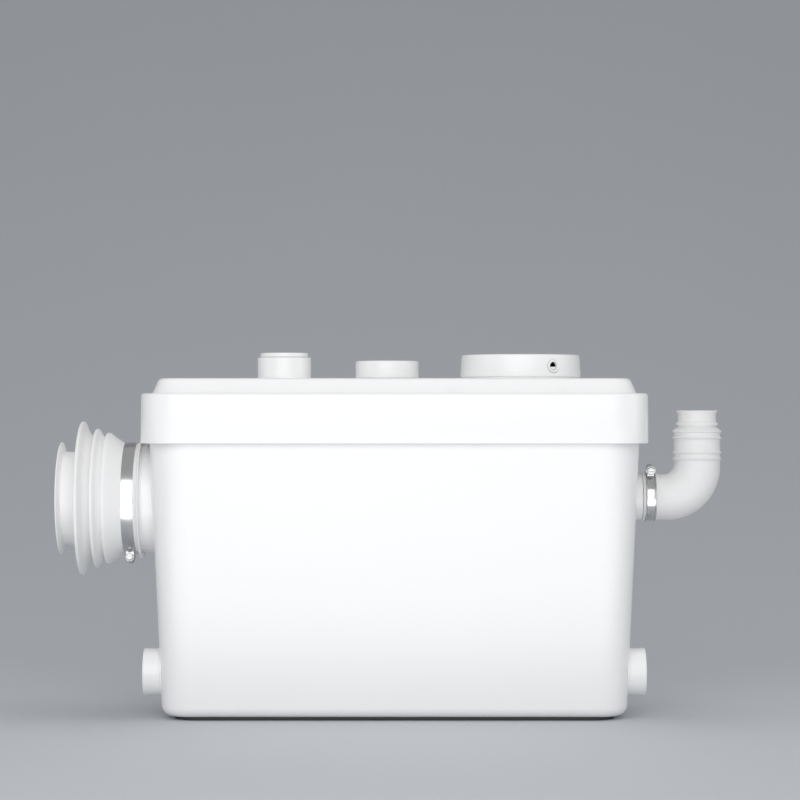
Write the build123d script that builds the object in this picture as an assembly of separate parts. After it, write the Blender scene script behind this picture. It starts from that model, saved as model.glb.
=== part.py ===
from build123d import *
import os
from math import atan2, cos, degrees, radians, sin, sqrt, tan

# Macerator toilet pump.
# X runs to the right along the front, Y away from the viewer, Z up.
# The origin is the centre of the base mat's underside, on the floor. Millimetres.

os.makedirs("parts", exist_ok=True)

# Shared clearances
overrun = 1.0          # how far a cutting tool runs past the face it cuts
snug = 0.1             # radial gap of fixed pieces pushed together
running = 0.05         # radial gap of a pin or shaft in its bore
loose = 0.3            # gap of pieces that move past each other

# Base mat
mat_thickness = 3.0
mat_end_inset = 10.5       # from the tank's foot
mat_side_inset = 8.0
mat_corner = 22.0

# Tank
tank_foot_inset = 19.0     # how far the foot is inside the lid's edge
tank_draft = 2.67      # degrees, on all four walls
tank_wall = 3.0
tank_corner = 40.0     # at the rim
tank_foot_radius = 9.0
tank_rim_level = 288.0
rim_flange_thickness = 4.0
rim_flange_reach = 15.0    # how far inside the lid's edge the flange ends
rim_skirt_gap = 1.0        # between the flange and the lid's skirt

# Lid
lid_length = 459.0
lid_depth = 200.0
lid_corner = 35.0
lid_skirt_level = 250.2
lid_ledge_level = 295.4
lid_top_level = 309.0
lid_wall = 3.0
lid_flare = 0.4       # degrees that the skirt opens downwards
lid_ledge_width = 10.4
lid_shoulder_slant = 23.8  # degrees of the raised part's sides
lid_edge_radius = 2.6
lid_top_edge_radius = 3.2

# Lid seal and lid screws
seal_inset = 9.75      # from the lid's edge to the seal
seal_width = 4.0
screw_inset = 6.25
screw_boss_radius = 3.0
screw_boss_length = 16.0
screw_radius = 1.4
screw_head_radius = 3.1
screw_head_height = 1.6
screw_length = 17.0
screw_slot_width = 0.9
lid_screw_places = (50.0, 150.0)

# Toilet inlet on the left wall
wc_level = 198.4
wc_spigot_radius = 48.0
wc_collar_radius = 50.0
wc_bore_radius = 44.0
wc_spigot_reach = 45.5      # past the end of the tank's foot, as all reaches here
wc_collar_reach = 24.0
wc_spigot_root = 3.0

# Toilet connector, a rubber bellows
connector_wall = 2.9
connector_root = 23.3       # rear lip, nearest the tank
connector_lip_radius = 57.5
connector_lip_run = 3.7
band_seat_radius = 51.05
band_seat_width = 11.6
cone_radius = 51.75
cone_reach = 41.2
fold_three_reach = 55.3
fold_three_radius = 61.0
fold_two_reach = 65.5
fold_two_radius = 64.6
fold_one_reach = 78.8
fold_one_radius = 71.4
fold_crest_width = 2.6
valley_two_reach = 57.4     # close under the steep face of the next fold
valley_two_radius = 55.4
flank_two_reach = 61.4      # where the long flank of a fold eases
flank_two_radius = 59.4
valley_one_reach = 67.6
valley_one_radius = 55.0
flank_one_reach = 74.2
flank_one_radius = 62.5
cuff_radius = 43.25
cuff_root = 83.1
cuff_reach = 95.0
mouth_throat_run = 1.75     # past the cuff
mouth_radius = 52.2
mouth_flare_run = 3.2
mouth_lip_run = 1.1

# Worm drive clamps
band_thickness = 0.7
housing_length = 15.0
housing_floor = 2.0
housing_wall = 0.8
clamp_screw_bore_gap = 0.1
clamp_slot_width = 1.0
clamp_slot_depth = 1.2
clamp_collar_height = 1.0
clamp_collar_margin = 0.5
wc_band_width = 11.2
wc_housing_width = 8.0
wc_band_reach = 33.9
wc_worm_radius = 2.6
wc_worm_length = 24.0
wc_head_radius = 3.6
wc_head_height = 4.4
wc_clamp_turn = 168.0       # degrees about the connector's axis, from the top
discharge_band_width = 9.0
band_rim_width = 1.1        # turned up edges of the discharge band
band_rim_height = 1.2
discharge_band_reach = 26.6
discharge_worm_radius = 2.4
discharge_worm_length = 19.0
discharge_head_radius = 4.0
discharge_head_height = 4.4
discharge_clamp_turn = 10.0

# Discharge spigot and check valve in the tank's right end
discharge_level = 199.5
discharge_collar_radius = 21.0
discharge_collar_reach = 19.1
discharge_spigot_radius = 18.0
discharge_bore_radius = 15.0
discharge_spigot_reach = 37.5
valve_inset = 20.5          # inside the end of the tank's foot
valve_flange_radius = 25.0
valve_flange_thickness = 3.0
valve_top_level = 222.0
valve_neck_level = 150.0
valve_foot_level = 132.0
valve_floor_thickness = 8.0
valve_seat_radius = 9.0
valve_seat_height = 3.0
nipple_radius = 11.0
nipple_bore_radius = 8.0
discharge_flap_radius = 10.5
discharge_flap_thickness = 2.5
discharge_flap_pin_radius = 1.0
discharge_flap_pin_rise = 3.7    # over the seat
discharge_flap_hub_radius = 2.0
discharge_flap_hub_length = 8.0

# Discharge elbow, rubber, turned up
elbow_radius = 21.2
elbow_lip_radius = 22.05
elbow_band_seat_radius = 21.3
elbow_lip_width = 2.5
elbow_bend_radius = 31.6
elbow_bend_reach = 39.0
elbow_bore_radius = 15.0
elbow_ridge_radius = 22.9
elbow_ridge_width = 2.8
elbow_ridge_levels = (235.2, 240.7, 254.8, 260.4)
elbow_neck_level = 263.9
elbow_cone_height = 1.8
pipe_collar_radius = 17.7
pipe_collar_top_level = 280.0
pipe_bore_radius = 16.1
pipe_bore_depth = 14.0
collar_ridge_radius = 19.5
collar_ridge_level = 267.6
collar_ridge_width = 2.2
collar_lip_radius = 19.0
collar_lip_width = 2.4

# Low side inlets with flaps
low_inlet_level = 41.0
low_inlet_depth_place = -40.0
low_inlet_radius = 21.6
low_inlet_bore_radius = 20.1
low_inlet_reach = 18.5
low_socket_depth = 15.0
low_seat_radius = 19.5
low_seat_bore_radius = 16.5
low_seat_depth = 10.0
low_flap_radius = 19.0
low_flap_thickness = 2.5
low_flap_pin_level = 64.5
low_flap_pin_radius = 1.5
low_flap_hub_radius = 3.0
low_flap_hub_half = 7.0
low_flap_arm_half = 4.0
low_lug_start = 10.0        # from the flap's middle
low_lug_thickness = 3.0
low_lug_reach = 5.0         # past the pin
low_lug_drop = 3.2
low_lug_rise = 4.0

# Top inlet with its plug
top_inlet_spacing = 95.5    # from the vent
top_inlet_radius = 24.75
top_inlet_bore_radius = 20.0
top_inlet_height = 20.1
plug_head_radius = 22.2
plug_head_height = 3.9
plug_stem_radius = 19.6
plug_stem_depth = 11.0
plug_wall = 2.0
plug_ring_level = 5.0       # under the spigot's top
plug_ring_width = 2.0
plug_ring_depth = 1.0
plug_edge_radius = 0.8

# Vent with its cap and carbon filter
vent_spacing = 124.0        # from the motor
vent_cap_radius = 29.3
vent_cap_height = 16.9
vent_cap_wall = 2.2
vent_cap_edge_radius = 2.0
vent_spigot_radius = 22.0
vent_spigot_bore_radius = 19.0
vent_spigot_height = 11.0
vent_hole_radius = 16.0
vent_slot_width = 7.0
vent_slot_height = 3.0
vent_slot_angles = (60.0, 90.0, 120.0)
filter_height = 8.0

# Motor cover and its cable outlet
motor_inset = 93.5          # inside the end of the tank's foot
cover_radius = 56.0
cover_top_radius = 54.6
cover_height = 22.3
cover_wall = 2.4
cover_edge_radius = 1.4
cover_ring_height = 4.0
cover_ring_width = 0.9
grommet_turn = 30.2         # degrees from the front towards the right
grommet_level = 11.4        # above the lid
grommet_flange_radius = 6.3
grommet_flange_thickness = 1.1
grommet_body_radius = 4.9
grommet_bore_radius = 3.65
grommet_tail = 3.0
grommet_jaw_depth = 0.8       # behind the wall's face

# Motor can
can_radius = 44.0
can_wall = 2.5
can_opening_gap = 1.0
can_flange_radius = 52.0
can_flange_thickness = 3.0
can_seal_thickness = 1.5
can_bottom_level = 140.0
can_bottom_thickness = 3.0
can_shaft_gap = 2.0
seal_hub_wall = 3.0
seal_hub_height = 10.0
flange_screw_circle = 48.6
flange_screw_turn = 45.0
flange_screw_radius = 1.9
flange_screw_head_radius = 3.0
flange_screw_head_height = 2.4
flange_screw_count = 4
flange_boss_radius = 4.4
flange_boss_height = 9.0

# Motor inside the can
shaft_radius = 5.0
shaft_bottom_level = 18.0
bearing_width = 9.0
bearing_radius = 15.0
bearing_inner_radius = 8.0
bearing_outer_bore = 12.2
ball_count = 8
cage_thickness = 1.4
cage_height = 3.0
bearing_housing_wall = 3.4
stator_low = 168.0
stator_high = 228.0
stator_bore_radius = 22.0
rotor_air_gap = 0.5
slot_count = 12
slot_inner_radius = 25.0
slot_outer_radius = 35.0
slot_width = 6.0
slot_mouth_width = 2.0
winding_gap = 0.25
winding_overhang = 10.0
winding_outer_radius = 37.0
winding_inner_radius = 24.6
bracket_thickness = 3.0
rotor_ring_height = 4.0
rotor_ring_wall = 6.0
capacitor_radius = 14.0
capacitor_height = 48.0
capacitor_place = -22.0     # from the motor's axis
capacitor_base_height = 4.0
terminal_length = 22.0
terminal_depth = 30.0
terminal_height = 16.0
terminal_place = 24.0
terminal_screw_radius = 2.0
terminal_screw_count = 3

# Shaft seal
seat_height = 6.0
seat_radius = 10.8
head_height = 9.0
head_radius = 9.6
head_step_radius = 8.0

# Cutter
cutter_level = 92.0
cutter_hub_radius = 9.0
cutter_hub_height = 9.0
cutter_blade_thickness = 3.0
cutter_blade_width = 12.0
cutter_reach = 33.0
cutter_tooth_height = 9.0
cutter_tooth_thickness = 3.0
cutter_blade_count = 4
nut_radius = 9.0
nut_height = 6.0

# Strainer basket
basket_radius = 56.0
basket_wall = 2.5
basket_low = 50.0
basket_high = 143.0
basket_collar_gap = 0.6
basket_slot_count = 24
basket_slot_width = 4.2
basket_slot_low = 60.0
basket_slot_high = 132.0
basket_floor_hole_radius = 3.0
basket_floor_hole_circle = 24.0
basket_floor_hole_count = 12
basket_shaft_gap = 2.5
basket_leg_radius = 3.5
basket_leg_turn = 45.0
basket_leg_count = 4
window_half_width = 45.0
window_low = 57.0
window_high = 114.0

# Inlet chute
chute_wall = 2.5
chute_drop = 94.4           # over the chute's run to the basket
chute_hole_radius = 3.5
chute_hole_count = 13
chute_hole_turns = (-35.0, 0.0, 35.0)
chute_leg_places = (-130.0, -20.0)
chute_leg_thickness = 4.0
chute_leg_half_width = 20.0

# Pump
volute_low = 17.0
volute_high = 46.0
volute_radius = 44.0
volute_wall = 3.0
volute_shaft_gap = 1.5
duct_low = 20.0
duct_high = 43.0
duct_half_width = 11.0
nipple_top_level = 66.0
suction_plate_thickness = 3.0
suction_eye_radius = 14.0
suction_foot_radius = 4.0
suction_foot_circle = 34.0
suction_foot_count = 4
impeller_radius = 34.0
impeller_low = 21.0
impeller_high = 39.0
impeller_disc = 3.0
impeller_hub_radius = 9.0
impeller_vane_thickness = 3.0
impeller_vane_count = 5
impeller_vane_bend_share = 0.42   # vane offset over the impeller's radius
tie_rod_radius = 2.5
tie_rod_circle = 38.5
tie_rod_count = 3
tie_rod_turn = 90.0
tie_rod_grip = 2.5

# Riser hose
hose_wall = 2.8
hose_low = 46.0
hose_high = 149.0

# Level switch
switch_spacing = 87.0       # from the motor
switch_wall_gap = 26.0      # from the tank's foot at the back
bell_wall_gap = 19.0
bell_radius = 9.0
bell_wall = 2.0
bell_low = 30.0
bell_mouth_radius = 12.0
bell_mouth_height = 14.0
dish_low = 236.0
dish_height = 10.0
dish_radius = 26.0
dish_wall = 2.0
dish_port_radius = 3.0
diaphragm_thickness = 1.5
diaphragm_bead_radius = 8.0
diaphragm_bead_height = 1.6
plunger_radius = 4.0
plunger_foot_radius = 10.0
plunger_foot_height = 2.0
plunger_height = 15.0
plunger_travel = 2.0
switch_cover_wall = 2.0
switch_cover_height = 40.0
switch_guide_height = 6.0
switch_guide_drop = 30.0    # from the cover's top to the guide
microswitch_length = 20.0
microswitch_depth = 10.0
microswitch_button_radius = 1.8
microswitch_button_height = 1.6
microswitch_button_seat = 3.0
switch_peg_radius = 4.0
switch_peg_spread = 18.0

# Places that follow from the sizes above
tank_floor_length = lid_length - 2 * tank_foot_inset
tank_floor_depth = lid_depth - 2 * tank_foot_inset
tank_end = tank_floor_length / 2
tank_side = tank_floor_depth / 2
mat_length = tank_floor_length - 2 * mat_end_inset
mat_depth = tank_floor_depth - 2 * mat_side_inset
wc_spigot_end = tank_end + wc_spigot_reach
wc_collar_end = tank_end + wc_collar_reach
wc_spigot_start = tank_end + wc_spigot_root
wc_band_place = tank_end + wc_band_reach
mouth_throat_reach = cuff_reach + mouth_throat_run
mouth_bend_reach = cuff_reach + mouth_flare_run
mouth_reach = mouth_bend_reach + mouth_lip_run
discharge_band_place = tank_end + discharge_band_reach
discharge_collar_end = tank_end + discharge_collar_reach
discharge_spigot_end = tank_end + discharge_spigot_reach
elbow_bend_start = tank_end + elbow_bend_reach
valve_place = tank_end - valve_inset
low_inlet_end = tank_end + low_inlet_reach
low_inlet_socket_end = low_inlet_end - low_socket_depth
low_seat_end = low_inlet_socket_end - low_seat_depth
motor_place = tank_end - motor_inset
vent_place = motor_place - vent_spacing
top_inlet_place = vent_place - top_inlet_spacing
switch_x = motor_place - switch_spacing
switch_y = tank_side - switch_wall_gap
bell_y = tank_side - bell_wall_gap
tank_bottom = mat_thickness
tank_floor = tank_bottom + tank_wall
lid_under_ledge = lid_ledge_level - lid_wall
lid_under_top = lid_top_level - lid_wall
skirt_height = lid_ledge_level - lid_skirt_level
raised_height = lid_top_level - lid_ledge_level
can_inner_radius = can_radius - can_wall
can_flange_level = lid_top_level + can_seal_thickness
can_floor = can_bottom_level + can_bottom_thickness
upper_bearing_low = stator_high + winding_overhang + bracket_thickness
upper_bearing_high = upper_bearing_low + bearing_width
bracket_top = upper_bearing_high + bracket_thickness
seat_low = can_bottom_level - seat_height
head_high = seat_low - loose
low_flap_face = low_seat_end - loose
low_flap_pin_place = low_flap_face - low_flap_thickness / 2
valve_outer_radius = discharge_spigot_radius
valve_seat_level = valve_neck_level + valve_floor_thickness
discharge_flap_low = valve_seat_level + valve_seat_height + loose
discharge_pin_level = valve_seat_level + valve_seat_height + discharge_flap_pin_rise
discharge_pin_place = valve_place - discharge_flap_radius
hose_bore_radius = nipple_radius + snug
elbow_start = discharge_collar_end + loose
elbow_axis_place = elbow_bend_start + elbow_bend_radius
chute_start = wc_spigot_start - loose
basket_left = motor_place - basket_radius
chute_run = chute_start + basket_left
chute_slope = chute_drop / chute_run
switch_peg_low = dish_low + dish_height + switch_cover_height


# Half of the tank's outer length or depth at a level
def tank_half(floor_size, level):
    return floor_size / 2 + (level - tank_bottom) * tan(radians(tank_draft))


def block(x_ends, y_ends, z_ends):
    ends = (x_ends, y_ends, z_ends)
    sizes = [high - low for low, high in ends]
    middles = [(high + low) / 2 for low, high in ends]
    return Pos(*middles) * Box(*sizes)


def disc(x, y, low, high, radius):
    return Pos(x, y, (low + high) / 2) * Cylinder(radius, high - low)


def tube(x, y, low, high, outer, inner):
    return disc(x, y, low, high, outer) - disc(x, y, low - overrun, high + overrun, inner)


# A shape built up along Z is laid down along +X, about a line at this Y and Z
def laid(shape, y, z):
    return Pos(0, y, z) * Rot(0, 90, 0) * shape


def rod(y, z, low, high, radius):
    return laid(disc(0, 0, low, high, radius), y, z)


# Side is 1 on the right end and -1 on the left end of the pump
def side_rod(side, y, z, near, far, radius):
    low, high = sorted((side * near, side * far))
    return rod(y, z, low, high, radius)


# A pin along Y
def cross_pin(x, z, low, high, radius):
    return Pos(x, (low + high) / 2, z) * Rot(90, 0, 0) * Cylinder(radius, high - low)


# A rounded rectangle that stands this far inside the lid's edge
def lid_outline(inset, level):
    return Pos(0, 0, level) * RectangleRounded(
        lid_length - 2 * inset, lid_depth - 2 * inset, lid_corner - inset
    )


def lid_slab(inset, low, high):
    return extrude(lid_outline(inset, low), amount=high - low)


# A tapered block under a rounded rectangle
def tapered(outline, drop, draft):
    return extrude(outline, amount=drop, dir=(0, 0, -1), taper=draft)


# Solid through circles square to the pump's X axis, straight from ring to ring
def ringed(places, y, z):
    rings = [
        Plane(origin=(x, y, z), x_dir=(0, 1, 0), z_dir=(1, 0, 0)) * Circle(radius)
        for x, radius in places
    ]
    return loft(rings, ruled=True)


def lid_screw_spots():
    edge_y = lid_depth / 2 - screw_inset
    edge_x = lid_length / 2 - screw_inset
    spots = [
        (side_x * place, side_y * edge_y)
        for place in lid_screw_places
        for side_x in (-1, 1)
        for side_y in (-1, 1)
    ]
    return spots + [(-edge_x, 0), (edge_x, 0)]


def flange_screw_spots():
    turns = [flange_screw_turn + 360 * index / flange_screw_count for index in range(flange_screw_count)]
    return [
        (
            motor_place + flange_screw_circle * cos(radians(turn)),
            flange_screw_circle * sin(radians(turn)),
        )
        for turn in turns
    ]


def tie_rod_spots():
    turns = [tie_rod_turn + 360 * index / tie_rod_count for index in range(tie_rod_count)]
    return [
        (motor_place + tie_rod_circle * cos(radians(turn)), tie_rod_circle * sin(radians(turn)))
        for turn in turns
    ]


def make_base_mat():
    mat = extrude(RectangleRounded(mat_length, mat_depth, mat_corner), amount=mat_thickness)
    return mat


def tank_body(inset, bottom):
    length = 2 * (tank_half(tank_floor_length, tank_rim_level) - inset)
    depth = 2 * (tank_half(tank_floor_depth, tank_rim_level) - inset)
    outline = Pos(0, 0, tank_rim_level) * RectangleRounded(length, depth, tank_corner - inset)
    body = tapered(outline, tank_rim_level - bottom, tank_draft)
    foot = body.faces().sort_by(Axis.Z)[0]
    return fillet(foot.edges(), tank_foot_radius - inset)


def low_inlet_fittings(side):
    y = low_inlet_depth_place
    z = low_inlet_level
    wall_place = tank_half(tank_floor_length, z)
    stub = side_rod(side, y, z, wall_place - tank_wall, low_inlet_end, low_inlet_radius)
    seat = side_rod(side, y, z, low_seat_end, wall_place, low_seat_radius)
    lugs = []
    for lug_side in (-1, 1):
        near = low_lug_start
        far = near + low_lug_thickness
        y_ends = sorted((y + lug_side * near, y + lug_side * far))
        x_ends = sorted((side * (low_flap_pin_place - low_lug_reach), side * wall_place))
        z_ends = (low_flap_pin_level - low_lug_drop, low_flap_pin_level + low_lug_rise)
        lugs.append(block(x_ends, y_ends, z_ends))
    return stub, seat, lugs


def make_tank():
    discharge_wall = tank_half(tank_floor_length, discharge_level) - tank_wall
    fittings = [low_inlet_fittings(side) for side in (-1, 1)]
    tank = tank_body(0, tank_bottom)
    tank += rod(0, wc_level, -wc_collar_end, -wc_spigot_start, wc_collar_radius)
    tank += rod(0, discharge_level, discharge_wall, discharge_collar_end, discharge_collar_radius)
    for stub, seat, lugs in fittings:
        tank += stub
    tank -= tank_body(tank_wall, tank_floor)
    tank += rim_ring()
    for x, y in lid_screw_spots():
        tank += disc(x, y, tank_rim_level - screw_boss_length, tank_rim_level, screw_boss_radius)
    tank += rod(0, wc_level, -wc_spigot_end, -wc_spigot_start, wc_spigot_radius)
    for stub, seat, lugs in fittings:
        tank += seat
        for lug in lugs:
            tank += lug
    tank -= rod(0, wc_level, -wc_spigot_end - overrun, -wc_spigot_start + overrun, wc_bore_radius)
    tank -= rod(
        0,
        discharge_level,
        discharge_wall - overrun,
        discharge_collar_end + overrun,
        discharge_spigot_radius + snug,
    )
    for side in (-1, 1):
        y = low_inlet_depth_place
        z = low_inlet_level
        tank -= side_rod(side, y, z, low_inlet_socket_end, low_inlet_end + overrun, low_inlet_bore_radius)
        tank -= side_rod(side, y, z, low_seat_end - overrun, low_inlet_end, low_seat_bore_radius)
        half = low_lug_start + low_lug_thickness + overrun
        pin_x = side * low_flap_pin_place
        tank -= cross_pin(pin_x, low_flap_pin_level, y - half, y + half, low_flap_pin_radius + running)
    for x, y in lid_screw_spots():
        low = tank_rim_level - screw_boss_length
        tank -= disc(x, y, low, tank_rim_level + overrun, screw_radius + snug)
    return tank


# The flat ring on top of the tank's walls, which carries the seal
def rim_ring():
    low = tank_rim_level - rim_flange_thickness
    ring = lid_slab(lid_wall + rim_skirt_gap, low, tank_rim_level)
    return ring - lid_slab(rim_flange_reach, low - overrun, tank_rim_level + overrun)


def make_lid():
    skirt = tapered(lid_outline(0, lid_ledge_level), skirt_height, -lid_flare)
    upper_edges = skirt.faces().sort_by(Axis.Z)[-1].edges()
    skirt = fillet(upper_edges, lid_edge_radius)
    raised = extrude(
        lid_outline(lid_ledge_width, lid_ledge_level),
        amount=raised_height,
        taper=lid_shoulder_slant,
    )
    raised = fillet(raised.faces().sort_by(Axis.Z)[-1].edges(), lid_top_edge_radius)
    lid = skirt + raised
    lid -= tapered(lid_outline(lid_wall, lid_under_ledge), skirt_height, -lid_flare)
    lid -= extrude(
        lid_outline(lid_ledge_width + lid_wall, lid_under_ledge),
        amount=lid_under_top - lid_under_ledge,
        taper=lid_shoulder_slant,
    )
    for x, y in flange_screw_spots():
        lid += disc(x, y, lid_under_top - flange_boss_height, lid_top_level, flange_boss_radius)
    peg_high = lid_top_level - lid_wall / 2
    for spread in (-switch_peg_spread, switch_peg_spread):
        lid += disc(switch_x + spread, switch_y, switch_peg_low, peg_high, switch_peg_radius)
    lid += disc(top_inlet_place, 0, lid_under_top, lid_top_level + top_inlet_height, top_inlet_radius)
    lid += disc(vent_place, 0, lid_under_top, lid_top_level + vent_spigot_height, vent_spigot_radius)
    cover_lean = (cover_radius - cover_top_radius) * cover_ring_height / cover_height
    ring_outer = cover_radius - cover_wall - loose - cover_lean
    ring = tube(
        motor_place,
        0,
        lid_under_top,
        lid_top_level + cover_ring_height,
        ring_outer,
        ring_outer - cover_ring_width,
    )
    lid += ring
    top_inlet_top = lid_top_level + top_inlet_height
    lid -= disc(top_inlet_place, 0, lid_under_top - overrun, top_inlet_top + overrun, top_inlet_bore_radius)
    lid -= disc(
        vent_place, 0, lid_top_level, lid_top_level + vent_spigot_height + overrun, vent_spigot_bore_radius
    )
    lid -= disc(vent_place, 0, lid_under_top - overrun, lid_top_level + overrun, vent_hole_radius)
    boss_low = lid_under_top - flange_boss_height
    opening_radius = can_radius + can_opening_gap
    lid -= disc(motor_place, 0, boss_low - overrun, lid_top_level + overrun, opening_radius)
    for x, y in flange_screw_spots():
        lid -= disc(x, y, boss_low, lid_top_level + overrun, flange_screw_radius + snug)
    for x, y in lid_screw_spots():
        lid -= disc(x, y, lid_under_ledge - overrun, lid_ledge_level + overrun, screw_radius + snug)
        seat_level = lid_ledge_level - screw_head_height
        lid -= disc(x, y, seat_level, lid_ledge_level + overrun, screw_head_radius + snug)
    return lid


def make_lid_seal():
    outer = lid_slab(seal_inset, tank_rim_level, lid_under_ledge)
    inner = lid_slab(seal_inset + seal_width, tank_rim_level - overrun, lid_under_ledge + overrun)
    return outer - inner


def make_lid_screws():
    screws = []
    for x, y in lid_screw_spots():
        seat_level = lid_ledge_level - screw_head_height
        screw = disc(x, y, seat_level, lid_ledge_level, screw_head_radius)
        screw += disc(x, y, seat_level - screw_length, seat_level, screw_radius)
        half_slot = screw_slot_width / 2
        slot_floor = lid_ledge_level - screw_head_height / 2
        slot_half = screw_head_radius / 2
        for x_half, y_half in ((slot_half, half_slot), (half_slot, slot_half)):
            x_ends = (x - x_half, x + x_half)
            y_ends = (y - y_half, y + y_half)
            screw -= block(x_ends, y_ends, (slot_floor, lid_ledge_level + overrun))
        screws.append(screw)
    return Compound(children=screws)


# Rings of the connector's outside, from the mouth to the rear lip
def connector_outside():
    half_crest = fold_crest_width / 2
    band_far = wc_band_reach + band_seat_width / 2
    band_near = wc_band_reach - band_seat_width / 2
    rings = [
        (mouth_reach, mouth_radius),
        (mouth_bend_reach, mouth_radius),
        (cuff_reach, cuff_radius),
        (cuff_root, cuff_radius),
        (fold_one_reach + half_crest, fold_one_radius),
        (fold_one_reach - half_crest, fold_one_radius),
        (flank_one_reach, flank_one_radius),
        (valley_one_reach, valley_one_radius),
        (fold_two_reach + half_crest, fold_two_radius),
        (fold_two_reach - half_crest, fold_two_radius),
        (flank_two_reach, flank_two_radius),
        (valley_two_reach, valley_two_radius),
        (fold_three_reach + half_crest, fold_three_radius),
        (fold_three_reach - half_crest, fold_three_radius),
        (cone_reach, cone_radius),
        (band_far, band_seat_radius),
        (band_near, band_seat_radius),
        (connector_root + connector_lip_run / 2, cone_radius),
        (connector_root, connector_lip_radius),
    ]
    return [(-tank_end - reach, radius) for reach, radius in rings]


# Rings of the connector's inside, one wall in from the outside
def connector_inside():
    seat_radius = wc_spigot_radius + snug
    cuff_bore = cuff_radius - connector_wall
    rings = [
        (mouth_reach, mouth_radius - connector_wall),
        (mouth_throat_reach, cuff_bore),
        (cuff_root - connector_wall, cuff_bore),
        (fold_one_reach, fold_one_radius - connector_wall),
        (flank_one_reach, flank_one_radius - connector_wall),
        (valley_one_reach, valley_one_radius - connector_wall),
        (fold_two_reach, valley_one_radius - connector_wall),
        (fold_two_reach, fold_two_radius - connector_wall),
        (flank_two_reach, flank_two_radius - connector_wall),
        (valley_two_reach, valley_two_radius - connector_wall),
        (fold_three_reach, valley_two_radius - connector_wall),
        (fold_three_reach, fold_three_radius - connector_wall),
        (wc_spigot_reach + loose, seat_radius),
        (wc_collar_reach, seat_radius),
    ]
    return [(-tank_end - reach, radius) for reach, radius in rings]


def make_wc_connector():
    connector = ringed(connector_outside(), 0, wc_level) - ringed(connector_inside(), 0, wc_level)
    far = wc_collar_end + overrun * snug
    near = tank_end + connector_root - overrun
    return connector - rod(0, wc_level, -far, -near, wc_collar_radius + snug)


# One worm drive clamp about the X axis, with its housing on top.
# Head side is the way along Y that the screw's head faces.
def clamp_screw_height(seat_radius, worm_radius):
    return seat_radius + band_thickness + housing_floor + worm_radius + clamp_screw_bore_gap


def clamp_band(place, width, seat_radius):
    inner = seat_radius + snug
    outer = inner + band_thickness
    half = width / 2
    return laid(tube(0, 0, place - half, place + half, outer, inner), 0, 0)


def clamp_rims(place, width, seat_radius):
    outer = seat_radius + snug + band_thickness
    half = width / 2
    rims = [
        tube(0, 0, near, near + band_rim_width, outer + band_rim_height, outer - snug)
        for near in (place - half, place + half - band_rim_width)
    ]
    return laid(rims[0] + rims[1], 0, 0)


def clamp_housing(place, width, seat_radius, worm_radius):
    outer = seat_radius + snug + band_thickness
    height = clamp_screw_height(seat_radius, worm_radius) + snug
    shell_radius = worm_radius + clamp_screw_bore_gap + housing_wall
    half = width / 2
    x_ends = (place - half, place + half)
    y_ends = (-housing_length / 2, housing_length / 2)
    base = block(x_ends, y_ends, (sqrt(outer ** 2 - (housing_length / 2) ** 2), height))
    housing = base + cross_pin(place, height, -housing_length / 2, housing_length / 2, shell_radius)
    housing -= rod(0, 0, x_ends[0] - overrun, x_ends[1] + overrun, outer)
    bore = worm_radius + clamp_screw_bore_gap
    reach = housing_length / 2 + overrun
    return housing - cross_pin(place, height, -reach, reach, bore)


def clamp_screw(place, seat_radius, worm_radius, worm_length, head_size, head_rise, head_side):
    height = clamp_screw_height(seat_radius, worm_radius) + snug
    head_start = housing_length / 2 + snug
    worm_ends = sorted((head_side * (head_start - worm_length), head_side * head_start))
    screw = cross_pin(place, height, worm_ends[0], worm_ends[1], worm_radius)
    collar_ends = sorted((head_side * head_start, head_side * (head_start + clamp_collar_height)))
    screw += cross_pin(place, height, collar_ends[0], collar_ends[1], head_size + clamp_collar_margin)
    head_plane = Plane(
        origin=(place, head_side * head_start, height), x_dir=(1, 0, 0), z_dir=(0, head_side, 0)
    )
    screw += extrude(head_plane * RegularPolygon(head_size, 6), amount=head_rise)
    end = head_start + head_rise
    slot_y = sorted((head_side * (end - clamp_slot_depth), head_side * (end + overrun)))
    slot_half = clamp_slot_width / 2
    slot_z = (height - slot_half, height + slot_half)
    return screw - block((place - head_size - overrun, place + head_size + overrun), slot_y, slot_z)


def wc_clamp_seat():
    return Pos(0, 0, wc_level) * Rot(wc_clamp_turn, 0, 0)


def discharge_clamp_seat():
    return Pos(0, 0, discharge_level) * Rot(discharge_clamp_turn, 0, 0)


def make_check_valve_body():
    body = disc(valve_place, 0, valve_neck_level, valve_top_level, valve_outer_radius)
    body += disc(valve_place, 0, valve_foot_level, valve_neck_level + overrun, nipple_radius)
    body += rod(0, discharge_level, valve_place, discharge_spigot_end, discharge_spigot_radius)
    wall_place = tank_half(tank_floor_length, discharge_level - valve_flange_radius) - tank_wall - snug
    flange_start = wall_place - valve_flange_thickness
    body += rod(0, discharge_level, flange_start, wall_place, valve_flange_radius)
    roof = valve_top_level - valve_outer_radius + discharge_bore_radius
    body -= disc(valve_place, 0, valve_seat_level, roof, discharge_bore_radius)
    body -= rod(
        0, discharge_level, valve_place, discharge_spigot_end + overrun, discharge_bore_radius
    )
    seat_top = valve_seat_level + valve_seat_height
    seat = tube(
        valve_place,
        0,
        valve_seat_level - overrun,
        seat_top,
        discharge_bore_radius + overrun,
        valve_seat_radius,
    )
    body += seat
    body -= disc(valve_place, 0, valve_foot_level - overrun, seat_top + overrun, nipple_bore_radius)
    pin_half = valve_outer_radius
    body -= cross_pin(
        discharge_pin_place,
        discharge_pin_level,
        -pin_half,
        pin_half,
        discharge_flap_pin_radius + running,
    )
    return body


def make_discharge_flap_pin():
    reach = sqrt(valve_outer_radius ** 2 - discharge_flap_radius ** 2) - snug
    return cross_pin(
        discharge_pin_place, discharge_pin_level, -reach, reach, discharge_flap_pin_radius
    )


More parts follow.
